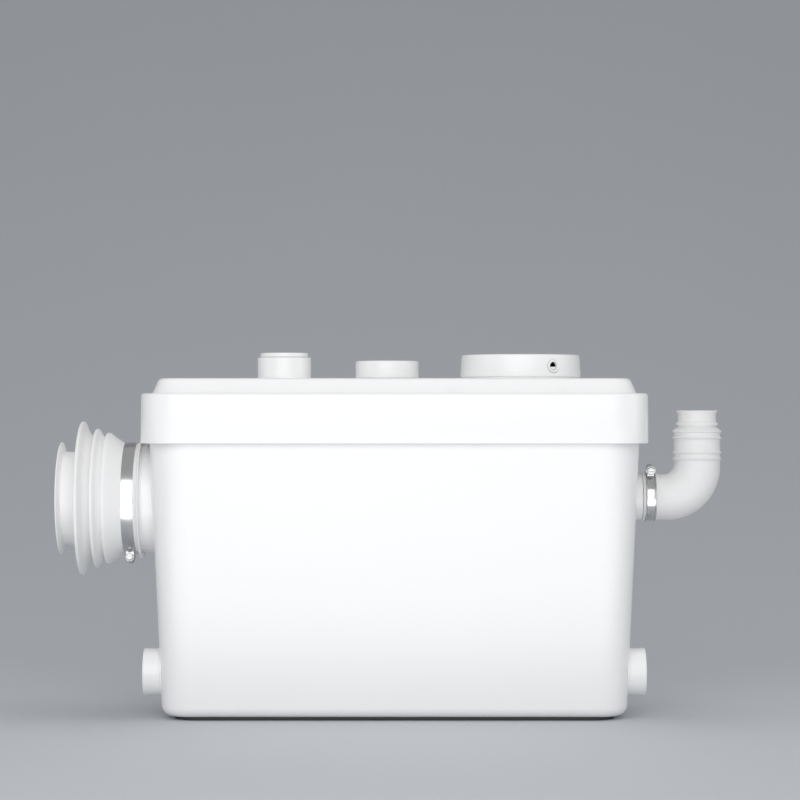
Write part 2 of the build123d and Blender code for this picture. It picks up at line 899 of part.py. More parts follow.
def make_discharge_flap():
    half_hub = discharge_flap_hub_length / 2
    middle = valve_place + discharge_flap_hub_radius / 2
    high = discharge_flap_low + discharge_flap_thickness
    flap = disc(middle, 0, discharge_flap_low, high, discharge_flap_radius)
    arm_z = (discharge_flap_low + discharge_flap_thickness / 2, discharge_pin_level)
    flap += block((discharge_pin_place, middle), (-half_hub, half_hub), arm_z)
    flap += cross_pin(
        discharge_pin_place, discharge_pin_level, -half_hub, half_hub, discharge_flap_hub_radius
    )
    reach = half_hub + overrun
    bore = discharge_flap_pin_radius + running
    return flap - cross_pin(discharge_pin_place, discharge_pin_level, -reach, reach, bore)


# A bent pipe from the discharge spigot, round the elbow and up
def elbow_sweep(start, top, radius):
    path = FilletPolyline(
        (start, 0, discharge_level),
        (elbow_axis_place, 0, discharge_level),
        (elbow_axis_place, 0, top),
        radius=elbow_bend_radius,
    )
    section = Plane(origin=(start, 0, discharge_level), z_dir=(1, 0, 0)) * Circle(radius)
    return sweep(section, path=path)


def make_discharge_elbow():
    elbow = elbow_sweep(elbow_start, elbow_neck_level, elbow_radius)
    lip_far = discharge_band_place + discharge_band_width / 2 + elbow_lip_width
    elbow += rod(0, discharge_level, elbow_start, lip_far, elbow_lip_radius)
    half_band = discharge_band_width / 2 + snug
    band_cut = tube(
        0,
        0,
        discharge_band_place - half_band,
        discharge_band_place + half_band,
        elbow_lip_radius + overrun,
        elbow_band_seat_radius,
    )
    elbow -= laid(band_cut, 0, discharge_level)
    for level in elbow_ridge_levels:
        half = elbow_ridge_width / 2
        ridge = disc(elbow_axis_place, 0, level - half, level + half, elbow_ridge_radius)
        elbow += chamfer(ridge.edges(), (elbow_ridge_radius - elbow_radius) / 2)
    cone = Pos(elbow_axis_place, 0, elbow_neck_level + elbow_cone_height / 2) * Cone(
        elbow_radius, pipe_collar_radius, elbow_cone_height
    )
    elbow += cone
    elbow += disc(elbow_axis_place, 0, elbow_neck_level, pipe_collar_top_level, pipe_collar_radius)
    half_ridge = collar_ridge_width / 2
    elbow += disc(
        elbow_axis_place,
        0,
        collar_ridge_level - half_ridge,
        collar_ridge_level + half_ridge,
        collar_ridge_radius,
    )
    elbow += disc(
        elbow_axis_place,
        0,
        pipe_collar_top_level - collar_lip_width,
        pipe_collar_top_level,
        collar_lip_radius,
    )
    socket_end = discharge_spigot_end + loose
    elbow -= elbow_sweep(socket_end - overrun, pipe_collar_top_level, elbow_bore_radius)
    elbow -= rod(
        0, discharge_level, elbow_start - overrun, socket_end, discharge_spigot_radius + loose
    )
    elbow -= disc(
        elbow_axis_place,
        0,
        pipe_collar_top_level - pipe_bore_depth,
        pipe_collar_top_level + overrun,
        pipe_bore_radius,
    )
    return elbow


def make_inlet_flap(side):
    y = low_inlet_depth_place
    far = low_flap_face
    near = far - low_flap_thickness
    flap = side_rod(side, y, low_inlet_level, near, far, low_flap_radius)
    x_ends = sorted((side * near, side * far))
    y_ends = (y - low_flap_arm_half, y + low_flap_arm_half)
    flap += block(x_ends, y_ends, (low_inlet_level, low_flap_pin_level))
    hub_ends = (y - low_flap_hub_half, y + low_flap_hub_half)
    pin_x = side * low_flap_pin_place
    flap += cross_pin(pin_x, low_flap_pin_level, hub_ends[0], hub_ends[1], low_flap_hub_radius)
    bore = low_flap_pin_radius + running
    return flap - cross_pin(
        pin_x, low_flap_pin_level, hub_ends[0] - overrun, hub_ends[1] + overrun, bore
    )


def make_inlet_flap_pins():
    half = low_lug_start + low_lug_thickness
    y = low_inlet_depth_place
    pins = [
        cross_pin(side * low_flap_pin_place, low_flap_pin_level, y - half, y + half, low_flap_pin_radius)
        for side in (-1, 1)
    ]
    return Compound(children=pins)


def plug_groove(outer, inner):
    middle = lid_top_level + top_inlet_height - plug_ring_level
    half = plug_ring_width / 2
    return tube(top_inlet_place, 0, middle - half, middle + half, outer, inner)


def make_inlet_plug():
    top = lid_top_level + top_inlet_height + loose
    head = disc(top_inlet_place, 0, top, top + plug_head_height, plug_head_radius)
    head = fillet(head.edges().sort_by(Axis.Z)[-1:], plug_edge_radius)
    plug = head + disc(top_inlet_place, 0, top - plug_stem_depth, top + overrun, plug_stem_radius)
    stem_bore = plug_stem_radius - plug_wall - plug_ring_depth
    plug -= disc(top_inlet_place, 0, top - plug_stem_depth - overrun, top + plug_wall, stem_bore)
    inner = plug_stem_radius - plug_ring_depth
    return plug - plug_groove(plug_stem_radius + overrun, inner)


def make_inlet_plug_ring():
    inner = plug_stem_radius - plug_ring_depth
    outer = top_inlet_bore_radius - snug
    middle = lid_top_level + top_inlet_height - plug_ring_level
    half = plug_ring_width / 2 - running
    return tube(top_inlet_place, 0, middle - half, middle + half, outer, inner + running)


def make_vent_cap():
    low = lid_top_level + loose / 2
    high = lid_top_level + vent_cap_height
    cap = disc(vent_place, 0, low, high, vent_cap_radius)
    cap = fillet(cap.edges().sort_by(Axis.Z)[-1:], vent_cap_edge_radius)
    cap -= disc(vent_place, 0, low - overrun, high - vent_cap_wall, vent_cap_radius - vent_cap_wall)
    for angle in vent_slot_angles:
        slot = block(
            (0, vent_cap_radius + overrun),
            (-vent_slot_width / 2, vent_slot_width / 2),
            (low - overrun, low + vent_slot_height),
        )
        cap -= Pos(vent_place, 0, 0) * Rot(0, 0, angle) * slot
    return cap


def make_vent_filter():
    return disc(
        vent_place, 0, lid_top_level, lid_top_level + filter_height, vent_spigot_bore_radius - snug
    )


def cover_wall_plane():
    turn = radians(grommet_turn)
    direction = (sin(turn), -cos(turn), 0)
    share = grommet_level / cover_height
    radius = cover_radius + (cover_top_radius - cover_radius) * share
    origin = (
        motor_place + radius * direction[0],
        radius * direction[1],
        lid_top_level + grommet_level,
    )
    return Plane(origin=origin, x_dir=(-direction[1], direction[0], 0), z_dir=direction)


def make_motor_cover():
    low = lid_top_level + loose
    height = cover_height - loose
    cover = Pos(motor_place, 0, low + height / 2) * Cone(cover_radius, cover_top_radius, height)
    cover = fillet(cover.edges().sort_by(Axis.Z)[-1:], cover_edge_radius)
    inner_height = height - cover_wall
    hollow = Pos(motor_place, 0, low + inner_height / 2) * Cone(
        cover_radius - cover_wall, cover_top_radius - cover_wall, inner_height
    )
    cover -= hollow
    hole = cover_wall_plane() * Pos(0, 0, -cover_wall) * Cylinder(grommet_body_radius + snug, 4 * cover_wall)
    return cover - hole


def make_cable_grommet():
    plane = cover_wall_plane()
    body_low = -cover_wall - grommet_tail
    lean = (cover_radius - cover_top_radius) * grommet_flange_radius / cover_height
    flange_low = lean + snug
    flange_high = flange_low + grommet_flange_thickness
    grommet = plane * Pos(0, 0, (body_low + flange_high) / 2) * Cylinder(
        grommet_body_radius, flange_high - body_low
    )
    flange = plane * Pos(0, 0, (flange_low + flange_high) / 2) * Cylinder(
        grommet_flange_radius, grommet_flange_thickness
    )
    bore = plane * Pos(0, 0, body_low) * Cylinder(grommet_bore_radius, 4 * (cover_wall + grommet_tail))
    # the lower jaw that grips the cable fills the lower half of the bore
    jaw_length = -grommet_jaw_depth - body_low
    bore -= plane * Pos(0, -grommet_bore_radius, body_low + jaw_length / 2) * Box(
        2 * grommet_bore_radius, 2 * grommet_bore_radius, jaw_length
    )
    return grommet + flange - bore


def make_motor_can():
    high = can_flange_level + can_flange_thickness
    can = disc(motor_place, 0, can_bottom_level, high, can_radius)
    can += disc(motor_place, 0, can_flange_level, high, can_flange_radius)
    can -= disc(motor_place, 0, can_floor, high + overrun, can_inner_radius)
    housing_radius = bearing_radius + snug
    housing_high = can_floor + bearing_width
    can += disc(motor_place, 0, can_bottom_level, housing_high, housing_radius + bearing_housing_wall)
    can -= disc(motor_place, 0, can_floor, housing_high + overrun, housing_radius)
    hub_low = can_bottom_level - seal_hub_height
    can += disc(motor_place, 0, hub_low, can_bottom_level, seat_radius + snug + seal_hub_wall)
    can -= disc(motor_place, 0, hub_low - overrun, can_bottom_level, seat_radius + snug)
    can -= disc(motor_place, 0, can_bottom_level - overrun, can_floor + overrun, shaft_radius + can_shaft_gap)
    for x, y in flange_screw_spots():
        can -= disc(x, y, can_flange_level - overrun, high + overrun, flange_screw_radius + snug)
    return can


def make_motor_can_seal():
    ring = tube(
        motor_place, 0, lid_top_level, can_flange_level, can_flange_radius, can_radius + can_opening_gap
    )
    for x, y in flange_screw_spots():
        ring -= disc(x, y, lid_top_level - overrun, can_flange_level + overrun, flange_screw_radius + snug)
    return ring


def make_flange_screws():
    screws = []
    top = can_flange_level + can_flange_thickness
    low = lid_under_top - flange_boss_height
    for x, y in flange_screw_spots():
        screw = disc(x, y, top, top + flange_screw_head_height, flange_screw_head_radius)
        screw += disc(x, y, low, top, flange_screw_radius)
        slot_half = screw_slot_width / 2
        slot_x = (x - flange_screw_head_radius - overrun, x + flange_screw_head_radius + overrun)
        slot_z = (top + flange_screw_head_height / 2, top + flange_screw_head_height + overrun)
        screws.append(screw - block(slot_x, (y - slot_half, y + slot_half), slot_z))
    return Compound(children=screws)


# A straight bar from the motor's axis outwards, repeated round the axis
def motor_bars(count, first_turn, near, far, width, low, high):
    bar = block((near, far), (-width / 2, width / 2), (low, high))
    turns = [first_turn + 360 * index / count for index in range(count)]
    return [Pos(motor_place, 0, 0) * Rot(0, 0, turn) * bar for turn in turns]


def make_stator_core():
    core = tube(motor_place, 0, stator_low, stator_high, can_inner_radius - snug, stator_bore_radius)
    low = stator_low - overrun
    high = stator_high + overrun
    cuts = motor_bars(slot_count, 0, slot_inner_radius, slot_outer_radius, slot_width, low, high)
    cuts += motor_bars(
        slot_count, 0, stator_bore_radius - overrun, slot_inner_radius + overrun, slot_mouth_width, low, high
    )
    return core - cuts


def make_stator_windings():
    near = slot_inner_radius + winding_gap
    far = slot_outer_radius - winding_gap
    width = slot_width - 2 * winding_gap
    low = stator_low - winding_overhang / 2
    high = stator_high + winding_overhang / 2
    windings = tube(
        motor_place,
        0,
        stator_low - winding_overhang,
        stator_low - winding_gap,
        winding_outer_radius,
        winding_inner_radius,
    )
    windings += tube(
        motor_place,
        0,
        stator_high + winding_gap,
        stator_high + winding_overhang,
        winding_outer_radius,
        winding_inner_radius,
    )
    for bar in motor_bars(slot_count, 0, near, far, width, low, high):
        windings += bar
    return windings


def make_rotor_core():
    radius = stator_bore_radius - rotor_air_gap
    rotor = disc(motor_place, 0, stator_low, stator_high, radius)
    for low in (stator_low - rotor_ring_height, stator_high):
        rotor += tube(motor_place, 0, low, low + rotor_ring_height, radius, radius - rotor_ring_wall)
    return rotor - disc(
        motor_place,
        0,
        stator_low - rotor_ring_height - overrun,
        stator_high + rotor_ring_height + overrun,
        shaft_radius + running,
    )


def make_motor_shaft():
    return disc(motor_place, 0, shaft_bottom_level, upper_bearing_high - loose, shaft_radius)


def bearing_levels():
    return (can_floor, upper_bearing_low)


def make_bearing_races(outer, inner):
    races = [tube(motor_place, 0, low, low + bearing_width, outer, inner) for low in bearing_levels()]
    return Compound(children=races)


def ball_spots():
    circle = (bearing_inner_radius + bearing_outer_bore) / 2
    turns = [360 * index / ball_count for index in range(ball_count)]
    spots = []
    for low in bearing_levels():
        for turn in turns:
            x = motor_place + circle * cos(radians(turn))
            y = circle * sin(radians(turn))
            spots.append(Pos(x, y, low + bearing_width / 2))
    return spots


def make_bearing_balls():
    radius = (bearing_outer_bore - bearing_inner_radius) / 2 - running
    return Compound(children=[spot * Sphere(radius) for spot in ball_spots()])


def make_bearing_cages():
    circle = (bearing_inner_radius + bearing_outer_bore) / 2
    ball = (bearing_outer_bore - bearing_inner_radius) / 2
    cages = []
    for low in bearing_levels():
        middle = low + bearing_width / 2
        half = ball + cage_height / 2
        cage = tube(
            motor_place,
            0,
            middle - half,
            middle + half,
            circle + cage_thickness / 2,
            circle - cage_thickness / 2,
        )
        pocket = Pos(circle, 0, middle) * Rot(0, 90, 0) * Cylinder(ball + running, 4 * cage_thickness)
        for index in range(ball_count):
            cage -= Pos(motor_place, 0, 0) * Rot(0, 0, 360 * index / ball_count) * pocket
        cages.append(cage)
    return Compound(children=cages)


def make_upper_bracket():
    outer = can_inner_radius - snug
    plate = disc(motor_place, 0, upper_bearing_high, bracket_top, outer)
    housing_radius = bearing_radius + snug
    plate += disc(motor_place, 0, upper_bearing_low, bracket_top, housing_radius + bearing_housing_wall)
    plate -= disc(motor_place, 0, upper_bearing_low - overrun, upper_bearing_high, housing_radius)
    return plate


def make_shaft_seal_seat():
    return tube(motor_place, 0, seat_low, can_bottom_level, seat_radius, shaft_radius + can_shaft_gap)


def make_shaft_seal_head():
    low = head_high - head_height
    middle = (low + head_high) / 2
    head = disc(motor_place, 0, middle, head_high, head_radius)
    head += disc(motor_place, 0, low, middle, head_step_radius)
    return head - disc(motor_place, 0, low - overrun, head_high + overrun, shaft_radius + running)


def make_capacitor():
    x = motor_place + capacitor_place
    low = bracket_top
    can = disc(x, 0, low + capacitor_base_height, low + capacitor_height, capacitor_radius - running)
    base = disc(x, 0, low, low + capacitor_base_height, capacitor_radius)
    return can + base


def make_terminal_block():
    x = motor_place + terminal_place
    x_ends = (x - terminal_length / 2, x + terminal_length / 2)
    y_ends = (-terminal_depth / 2, terminal_depth / 2)
    housing = block(x_ends, y_ends, (bracket_top, bracket_top + terminal_height))
    for index in range(terminal_screw_count):
        y = terminal_depth * ((index + 1 / 2) / terminal_screw_count - 1 / 2)
        top = bracket_top + terminal_height
        housing -= disc(x, y, top - terminal_height / 2, top + overrun, terminal_screw_radius)
    return housing


def make_cutter_blades():
    low = cutter_level - cutter_blade_thickness
    blades = disc(motor_place, 0, low, cutter_level + cutter_hub_height, cutter_hub_radius)
    for bar in motor_bars(cutter_blade_count, 0, 0, cutter_reach, cutter_blade_width, low, cutter_level):
        blades += bar
    near = cutter_reach - cutter_tooth_thickness
    top = cutter_level + cutter_tooth_height
    for bar in motor_bars(cutter_blade_count, 0, near, cutter_reach, cutter_blade_width / 2, low, top):
        blades += bar
    top = cutter_level + cutter_hub_height + overrun
    return blades - disc(motor_place, 0, low - overrun, top, shaft_radius + running)


def make_cutter_nut():
    high = cutter_level - cutter_blade_thickness
    nut = extrude(Pos(motor_place, 0, high - nut_height) * RegularPolygon(nut_radius, 6), amount=nut_height)
    return nut - disc(motor_place, 0, high - nut_height - overrun, high + overrun, shaft_radius + running)


def make_strainer_basket():
    inner = basket_radius - basket_wall
    basket = disc(motor_place, 0, basket_low, basket_high, basket_radius)
    floor_top = basket_low + basket_wall
    basket -= disc(motor_place, 0, floor_top, basket_high - basket_wall, inner)
    collar_bore = can_radius + basket_collar_gap
    basket -= disc(motor_place, 0, basket_high - basket_wall - overrun, basket_high + overrun, collar_bore)
    step = 360 / basket_slot_count
    slot = block(
        (inner - overrun, basket_radius + overrun),
        (-basket_slot_width / 2, basket_slot_width / 2),
        (basket_slot_low, basket_slot_high),
    )
    blocked = degrees(atan2(window_half_width, sqrt(inner ** 2 - window_half_width ** 2))) + step / 2
    for index in range(basket_slot_count):
        turn = step * (index + 1 / 2)
        if abs(turn - 180) > blocked:
            basket -= Pos(motor_place, 0, 0) * Rot(0, 0, turn) * slot
    for index in range(basket_floor_hole_count):
        turn = radians(360 * index / basket_floor_hole_count)
        x = motor_place + basket_floor_hole_circle * cos(turn)
        y = basket_floor_hole_circle * sin(turn)
        basket -= disc(x, y, basket_low - overrun, floor_top + overrun, basket_floor_hole_radius)
    hole = shaft_radius + basket_shaft_gap
    basket -= disc(motor_place, 0, basket_low - overrun, floor_top + overrun, hole)
    for x, y in tie_rod_spots():
        basket -= disc(x, y, basket_low - overrun, floor_top + overrun, tie_rod_radius + loose)
    window_x = (motor_place - basket_radius - overrun, motor_place - tie_rod_radius)
    window_y = (-window_half_width, window_half_width)
    basket -= block(window_x, window_y, (window_low, window_high)) & disc(
        motor_place, 0, window_low, window_high, basket_radius + overrun
    )
    leg_circle = basket_radius - basket_wall / 2 - basket_leg_radius
    for index in range(basket_leg_count):
        turn = radians(basket_leg_turn + 360 * index / basket_leg_count)
        x = motor_place + leg_circle * cos(turn)
        y = leg_circle * sin(turn)
        basket += disc(x, y, tank_floor, basket_low + basket_wall / 2, basket_leg_radius)
    return basket


# Height of the chute's round centre line at a place along X
def chute_centre(x):
    return wc_level - (x + chute_start) * chute_slope


def make_inlet_chute():
    outer = wc_bore_radius + chute_wall
    angle = degrees(atan2(chute_drop, chute_run))
    lean = cos(radians(angle))
    length = (chute_start + motor_place) / lean + outer
    trough = rod(0, 0, -outer, length, outer)
    trough -= rod(0, 0, -outer - overrun, length + overrun, wc_bore_radius)
    trough -= block((-2 * outer, 2 * length), (-2 * outer, 2 * outer), (0, 2 * outer))
    chute = Pos(-chute_start, 0, wc_level) * Rot(0, angle, 0) * trough
    chute -= block((-chute_start - 2 * outer, -chute_start), (-2 * outer, 2 * outer), (0, lid_top_level))
    chute -= block((motor_place, motor_place + length), (-2 * outer, 2 * outer), (0, lid_top_level))
    for x in chute_leg_places:
        half = chute_leg_thickness / 2
        top = chute_centre(x) - (wc_bore_radius + chute_wall / 2) / lean
        y_ends = (-chute_leg_half_width, chute_leg_half_width)
        chute += block((x - half, x + half), y_ends, (tank_floor, top))
    chute -= disc(motor_place, 0, 0, lid_top_level, basket_radius + loose)
    pitch = chute_run / (chute_hole_count + 1)
    for index in range(chute_hole_count):
        x = -chute_start + pitch * (index + 1)
        for turn in chute_hole_turns:
            tool = Pos(0, 0, -outer / lean) * Cylinder(chute_hole_radius, 6 * chute_wall)
            chute -= Pos(x, 0, chute_centre(x)) * Rot(turn, 0, 0) * tool
    return chute


def make_volute():
    volute = disc(motor_place, 0, volute_low, volute_high, volute_radius)
    y_ends = (-duct_half_width, duct_half_width)
    volute += block((motor_place, valve_place), y_ends, (duct_low, duct_high))
    volute += disc(valve_place, 0, duct_low, duct_high, duct_half_width)
    volute += disc(valve_place, 0, duct_high, nipple_top_level, nipple_radius)
    chamber = volute_radius - volute_wall
    volute -= disc(motor_place, 0, volute_low - overrun, volute_high - volute_wall, chamber)
    channel = duct_half_width - volute_wall
    channel_z = (duct_low + volute_wall, duct_high - volute_wall)
    volute -= block((motor_place, valve_place), (-channel, channel), channel_z)
    volute -= disc(valve_place, 0, channel_z[0], nipple_top_level + overrun, nipple_bore_radius)
    shaft_hole = shaft_radius + volute_shaft_gap
    volute -= disc(motor_place, 0, volute_high - volute_wall - overrun, volute_high + overrun, shaft_hole)
    for x, y in tie_rod_spots():
        hole_low = volute_high - tie_rod_grip
        volute -= disc(x, y, hole_low, volute_high + overrun, tie_rod_radius + snug)
    return volute


def make_suction_plate():
    low = volute_low - suction_plate_thickness
    plate = disc(motor_place, 0, low, volute_low, volute_radius)
    plate -= disc(motor_place, 0, low - overrun, volute_low + overrun, suction_eye_radius)
    for index in range(suction_foot_count):
        turn = radians(basket_leg_turn + 360 * index / suction_foot_count)
        x = motor_place + suction_foot_circle * cos(turn)
        y = suction_foot_circle * sin(turn)
        plate += disc(x, y, tank_floor, low, suction_foot_radius)
    return plate


def make_impeller():
    impeller = disc(motor_place, 0, impeller_high - impeller_disc, impeller_high, impeller_radius)
    impeller += disc(motor_place, 0, impeller_low, impeller_high, impeller_hub_radius)
    bend = impeller_vane_bend_share * impeller_radius
    tip = sqrt(impeller_radius ** 2 - bend ** 2)
    for index in range(impeller_vane_count):
        arc = ThreePointArc((0, 0), (tip / 2, bend * 2 / 3), (tip, bend))
        vane = extrude(trace(arc, line_width=impeller_vane_thickness), amount=impeller_high - impeller_low)
        turn = 360 * index / impeller_vane_count
        vane = Pos(motor_place, 0, impeller_low) * Rot(0, 0, turn) * vane
        impeller += vane & disc(motor_place, 0, impeller_low, impeller_high, impeller_radius)
    return impeller - disc(
        motor_place, 0, impeller_low - overrun, impeller_high + overrun, shaft_radius + running
    )


def make_impeller_nut():
    low = impeller_low - nut_height / 2
    nut = extrude(Pos(motor_place, 0, low) * RegularPolygon(nut_radius, 6), amount=nut_height / 2 - running)
    return nut - disc(motor_place, 0, low - overrun, impeller_low + overrun, shaft_radius + running)


def make_tie_rods():
    low = volute_high - tie_rod_grip
    rods = [disc(x, y, low, can_bottom_level, tie_rod_radius) for x, y in tie_rod_spots()]
    return Compound(children=rods)


def make_riser_hose():
    return tube(valve_place, 0, hose_low, hose_high, hose_bore_radius + hose_wall, hose_bore_radius)


def make_air_bell():
    bell = disc(switch_x, bell_y, bell_low, dish_low + overrun, bell_radius)
    bell += disc(switch_x, bell_y, bell_low, bell_low + bell_mouth_height, bell_mouth_radius)
    bell += disc(switch_x, switch_y, dish_low, dish_low + dish_height, dish_radius)
    bell -= disc(
        switch_x,
        switch_y,
        dish_low + dish_wall,
        dish_low + dish_height + overrun,
        dish_radius - dish_wall,
    )
    bell -= disc(switch_x, bell_y, bell_low - overrun, dish_low, bell_radius - bell_wall)
    mouth_bore = bell_mouth_radius - bell_wall
    bell -= disc(
        switch_x, bell_y, bell_low - overrun, bell_low + bell_mouth_height - bell_wall, mouth_bore
    )
    return bell - disc(switch_x, bell_y, bell_low, dish_low + dish_wall + overrun, dish_port_radius)


def make_diaphragm():
    low = dish_low + dish_height
    sheet = disc(switch_x, switch_y, low, low + diaphragm_thickness, dish_radius)
    return sheet + disc(
        switch_x, switch_y, low - diaphragm_bead_height, low + overrun, diaphragm_bead_radius
    )


def plunger_low():
    return dish_low + dish_height + diaphragm_thickness + loose / 2


def make_switch_plunger():
    low = plunger_low()
    plunger = disc(switch_x, switch_y, low, low + plunger_foot_height, plunger_foot_radius)
    return plunger + disc(switch_x, switch_y, low, low + plunger_height, plunger_radius)


def make_switch_cover():
    low = dish_low + dish_height + diaphragm_thickness
    high = dish_low + dish_height + switch_cover_height
    cover = disc(switch_x, switch_y, low, high, dish_radius)
    inner = dish_radius - switch_cover_wall
    cover -= disc(switch_x, switch_y, low - overrun, high - switch_cover_wall, inner)
    guide_low = high - switch_guide_drop
    guide = disc(switch_x, switch_y, guide_low, guide_low + switch_guide_height, inner + overrun)
    guide -= disc(
        switch_x, switch_y, guide_low - overrun, guide_low + switch_guide_height + overrun,
        plunger_radius + loose,
    )
    return cover + guide


def microswitch_low():
    return plunger_low() + plunger_height + plunger_travel + microswitch_button_height + loose


def make_microswitch():
    low = microswitch_low()
    x_ends = (switch_x - microswitch_length / 2, switch_x + microswitch_length / 2)
    y_ends = (switch_y - microswitch_depth / 2, switch_y + microswitch_depth / 2)
    top = dish_low + dish_height + switch_cover_height - switch_cover_wall
    body = block(x_ends, y_ends, (low, top))
    well = low + microswitch_button_seat + plunger_travel + loose
    bore = microswitch_button_radius + running
    return body - disc(switch_x, switch_y, low - overrun, well, bore)


def make_microswitch_button():
    low = plunger_low() + plunger_height + snug
    high = microswitch_low() + microswitch_button_seat
    return disc(switch_x, switch_y, low, high, microswitch_button_radius)


nodes = {
    "base_mat": make_base_mat(),
    "tank": make_tank(),
    "lid": make_lid(),
    "lid_seal": make_lid_seal(),
    "lid_screws": make_lid_screws(),
    "wc_connector": make_wc_connector(),
    "wc_clamp_band": wc_clamp_seat() * clamp_band(-wc_band_place, wc_band_width, band_seat_radius),
    "wc_clamp_housing": wc_clamp_seat()
    * clamp_housing(-wc_band_place, wc_housing_width, band_seat_radius, wc_worm_radius),
    "wc_clamp_screw": wc_clamp_seat()
    * clamp_screw(
        -wc_band_place,
        band_seat_radius,
        wc_worm_radius,
        wc_worm_length,
        wc_head_radius,
        wc_head_height,
        1,
    ),
    "check_valve_body": make_check_valve_body(),
    "discharge_flap": make_discharge_flap(),
    "discharge_flap_pin": make_discharge_flap_pin(),
    "discharge_elbow": make_discharge_elbow(),
    "discharge_clamp_band": discharge_clamp_seat()
    * (
        clamp_band(discharge_band_place, discharge_band_width, elbow_band_seat_radius)
        + clamp_rims(discharge_band_place, discharge_band_width, elbow_band_seat_radius)
    ),
    "discharge_clamp_housing": discharge_clamp_seat()
    * clamp_housing(
        discharge_band_place,
        discharge_band_width - 2 * (band_rim_width + snug),
        elbow_band_seat_radius,
        discharge_worm_radius,
    ),
    "discharge_clamp_screw": discharge_clamp_seat()
    * clamp_screw(
        discharge_band_place,
        elbow_band_seat_radius,
        discharge_worm_radius,
        discharge_worm_length,
        discharge_head_radius,
        discharge_head_height,
        -1,
    ),
    "left_inlet_flap": make_inlet_flap(-1),
    "right_inlet_flap": make_inlet_flap(1),
    "inlet_flap_pins": make_inlet_flap_pins(),
    "inlet_plug": make_inlet_plug(),
    "inlet_plug_ring": make_inlet_plug_ring(),
    "vent_cap": make_vent_cap(),
    "vent_filter": make_vent_filter(),
    "motor_cover": make_motor_cover(),
    "cable_grommet": make_cable_grommet(),
    "motor_can": make_motor_can(),
    "motor_can_seal": make_motor_can_seal(),
    "motor_flange_screws": make_flange_screws(),
    "stator_core": make_stator_core(),
    "stator_windings": make_stator_windings(),
    "rotor_core": make_rotor_core(),
    "motor_shaft": make_motor_shaft(),
    "bearing_outer_races": make_bearing_races(bearing_radius, bearing_outer_bore),
    "bearing_inner_races": make_bearing_races(bearing_inner_radius, shaft_radius + running),
    "bearing_balls": make_bearing_balls(),
    "bearing_cages": make_bearing_cages(),
    "upper_bearing_bracket": make_upper_bracket(),
    "shaft_seal_seat": make_shaft_seal_seat(),
    "shaft_seal_head": make_shaft_seal_head(),
    "capacitor": make_capacitor(),
    "terminal_block": make_terminal_block(),
    "cutter_blades": make_cutter_blades(),
    "cutter_nut": make_cutter_nut(),
    "strainer_basket": make_strainer_basket(),
    "inlet_chute": make_inlet_chute(),
    "volute": make_volute(),
    "suction_plate": make_suction_plate(),
    "impeller": make_impeller(),
    "impeller_nut": make_impeller_nut(),
    "pump_tie_rods": make_tie_rods(),
    "riser_hose": make_riser_hose(),
    "air_bell": make_air_bell(),
    "diaphragm": make_diaphragm(),
    "switch_plunger": make_switch_plunger(),
    "switch_cover": make_switch_cover(),
    "microswitch": make_microswitch(),
    "microswitch_button": make_microswitch_button(),
}

for name, shape in nodes.items():
    export_step(shape, f"parts/{name}.step")
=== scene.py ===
import math

import bmesh
import bpy
from mathutils import Matrix, Vector


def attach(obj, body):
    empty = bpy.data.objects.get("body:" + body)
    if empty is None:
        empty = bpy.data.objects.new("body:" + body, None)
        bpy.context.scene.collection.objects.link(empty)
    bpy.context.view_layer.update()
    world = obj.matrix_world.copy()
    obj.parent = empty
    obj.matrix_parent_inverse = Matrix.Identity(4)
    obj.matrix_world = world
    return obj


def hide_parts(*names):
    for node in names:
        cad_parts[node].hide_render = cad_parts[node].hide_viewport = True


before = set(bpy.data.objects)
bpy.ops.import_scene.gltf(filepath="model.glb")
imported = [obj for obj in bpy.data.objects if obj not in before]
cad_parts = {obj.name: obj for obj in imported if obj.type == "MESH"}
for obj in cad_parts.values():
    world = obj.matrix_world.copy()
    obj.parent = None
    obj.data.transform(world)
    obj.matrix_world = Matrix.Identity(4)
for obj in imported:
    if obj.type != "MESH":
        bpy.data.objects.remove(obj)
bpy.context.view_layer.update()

mm = 0.001
fullTurn = 2 * math.pi
print("frame loaded:", len(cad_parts), "nodes")


# Camera, floor and lights

view = {
    "place": (0.005, -2.474, 0.2758),   # level, looking along Y
    "lens": 119.7,
    "sensor": 36.0,
    "shiftUp": 0.01875,
    "farClip": 30.0,
}
stage = {
    "halfWidth": 9.0,
    "front": -9.0,
    "back": 3.6,
    "bend": 3.0,
    "bendSteps": 24,
    "height": 4.2,
    "colour": (0.57, 0.59, 0.62, 1.0),
    "lighter": 1.02,                    # of the clouds
    "cloud": 3.0,
    "roughness": 0.75,
}
lamps = [
    # name, place, aimed at, width, height, power, lights matt surfaces, shows in gloss
    ("frontSoftbox", (-0.2, -1.95, 0.8), (0.0, 0.0, 0.17), 2.0, 1.5, 20.3, True, True),
    ("topSoftbox", (0.1, 0.1, 2.1), (0.0, 0.0, 0.2), 1.8, 1.4, 8.0, True, False),
    ("leftStrip", (-2.0, -0.7, 0.7), (-0.2, 0.0, 0.2), 0.6, 1.8, 2.6, True, True),
    ("rightStrip", (2.0, -0.5, 0.6), (0.2, 0.0, 0.2), 0.6, 1.8, 5.4, True, True),
    ("floorCard", (0.0, -0.8, 0.006), (0.0, -0.8, 1.0), 1.7, 1.1, 2.6, True, True),
    ("metalCard", (0.0, -0.8, 0.008), (0.0, -0.8, 1.0), 1.7, 1.1, 8.4, False, True),
]
worldTone = {"colour": (0.98, 0.99, 1.0, 1.0), "strength": 0.4}


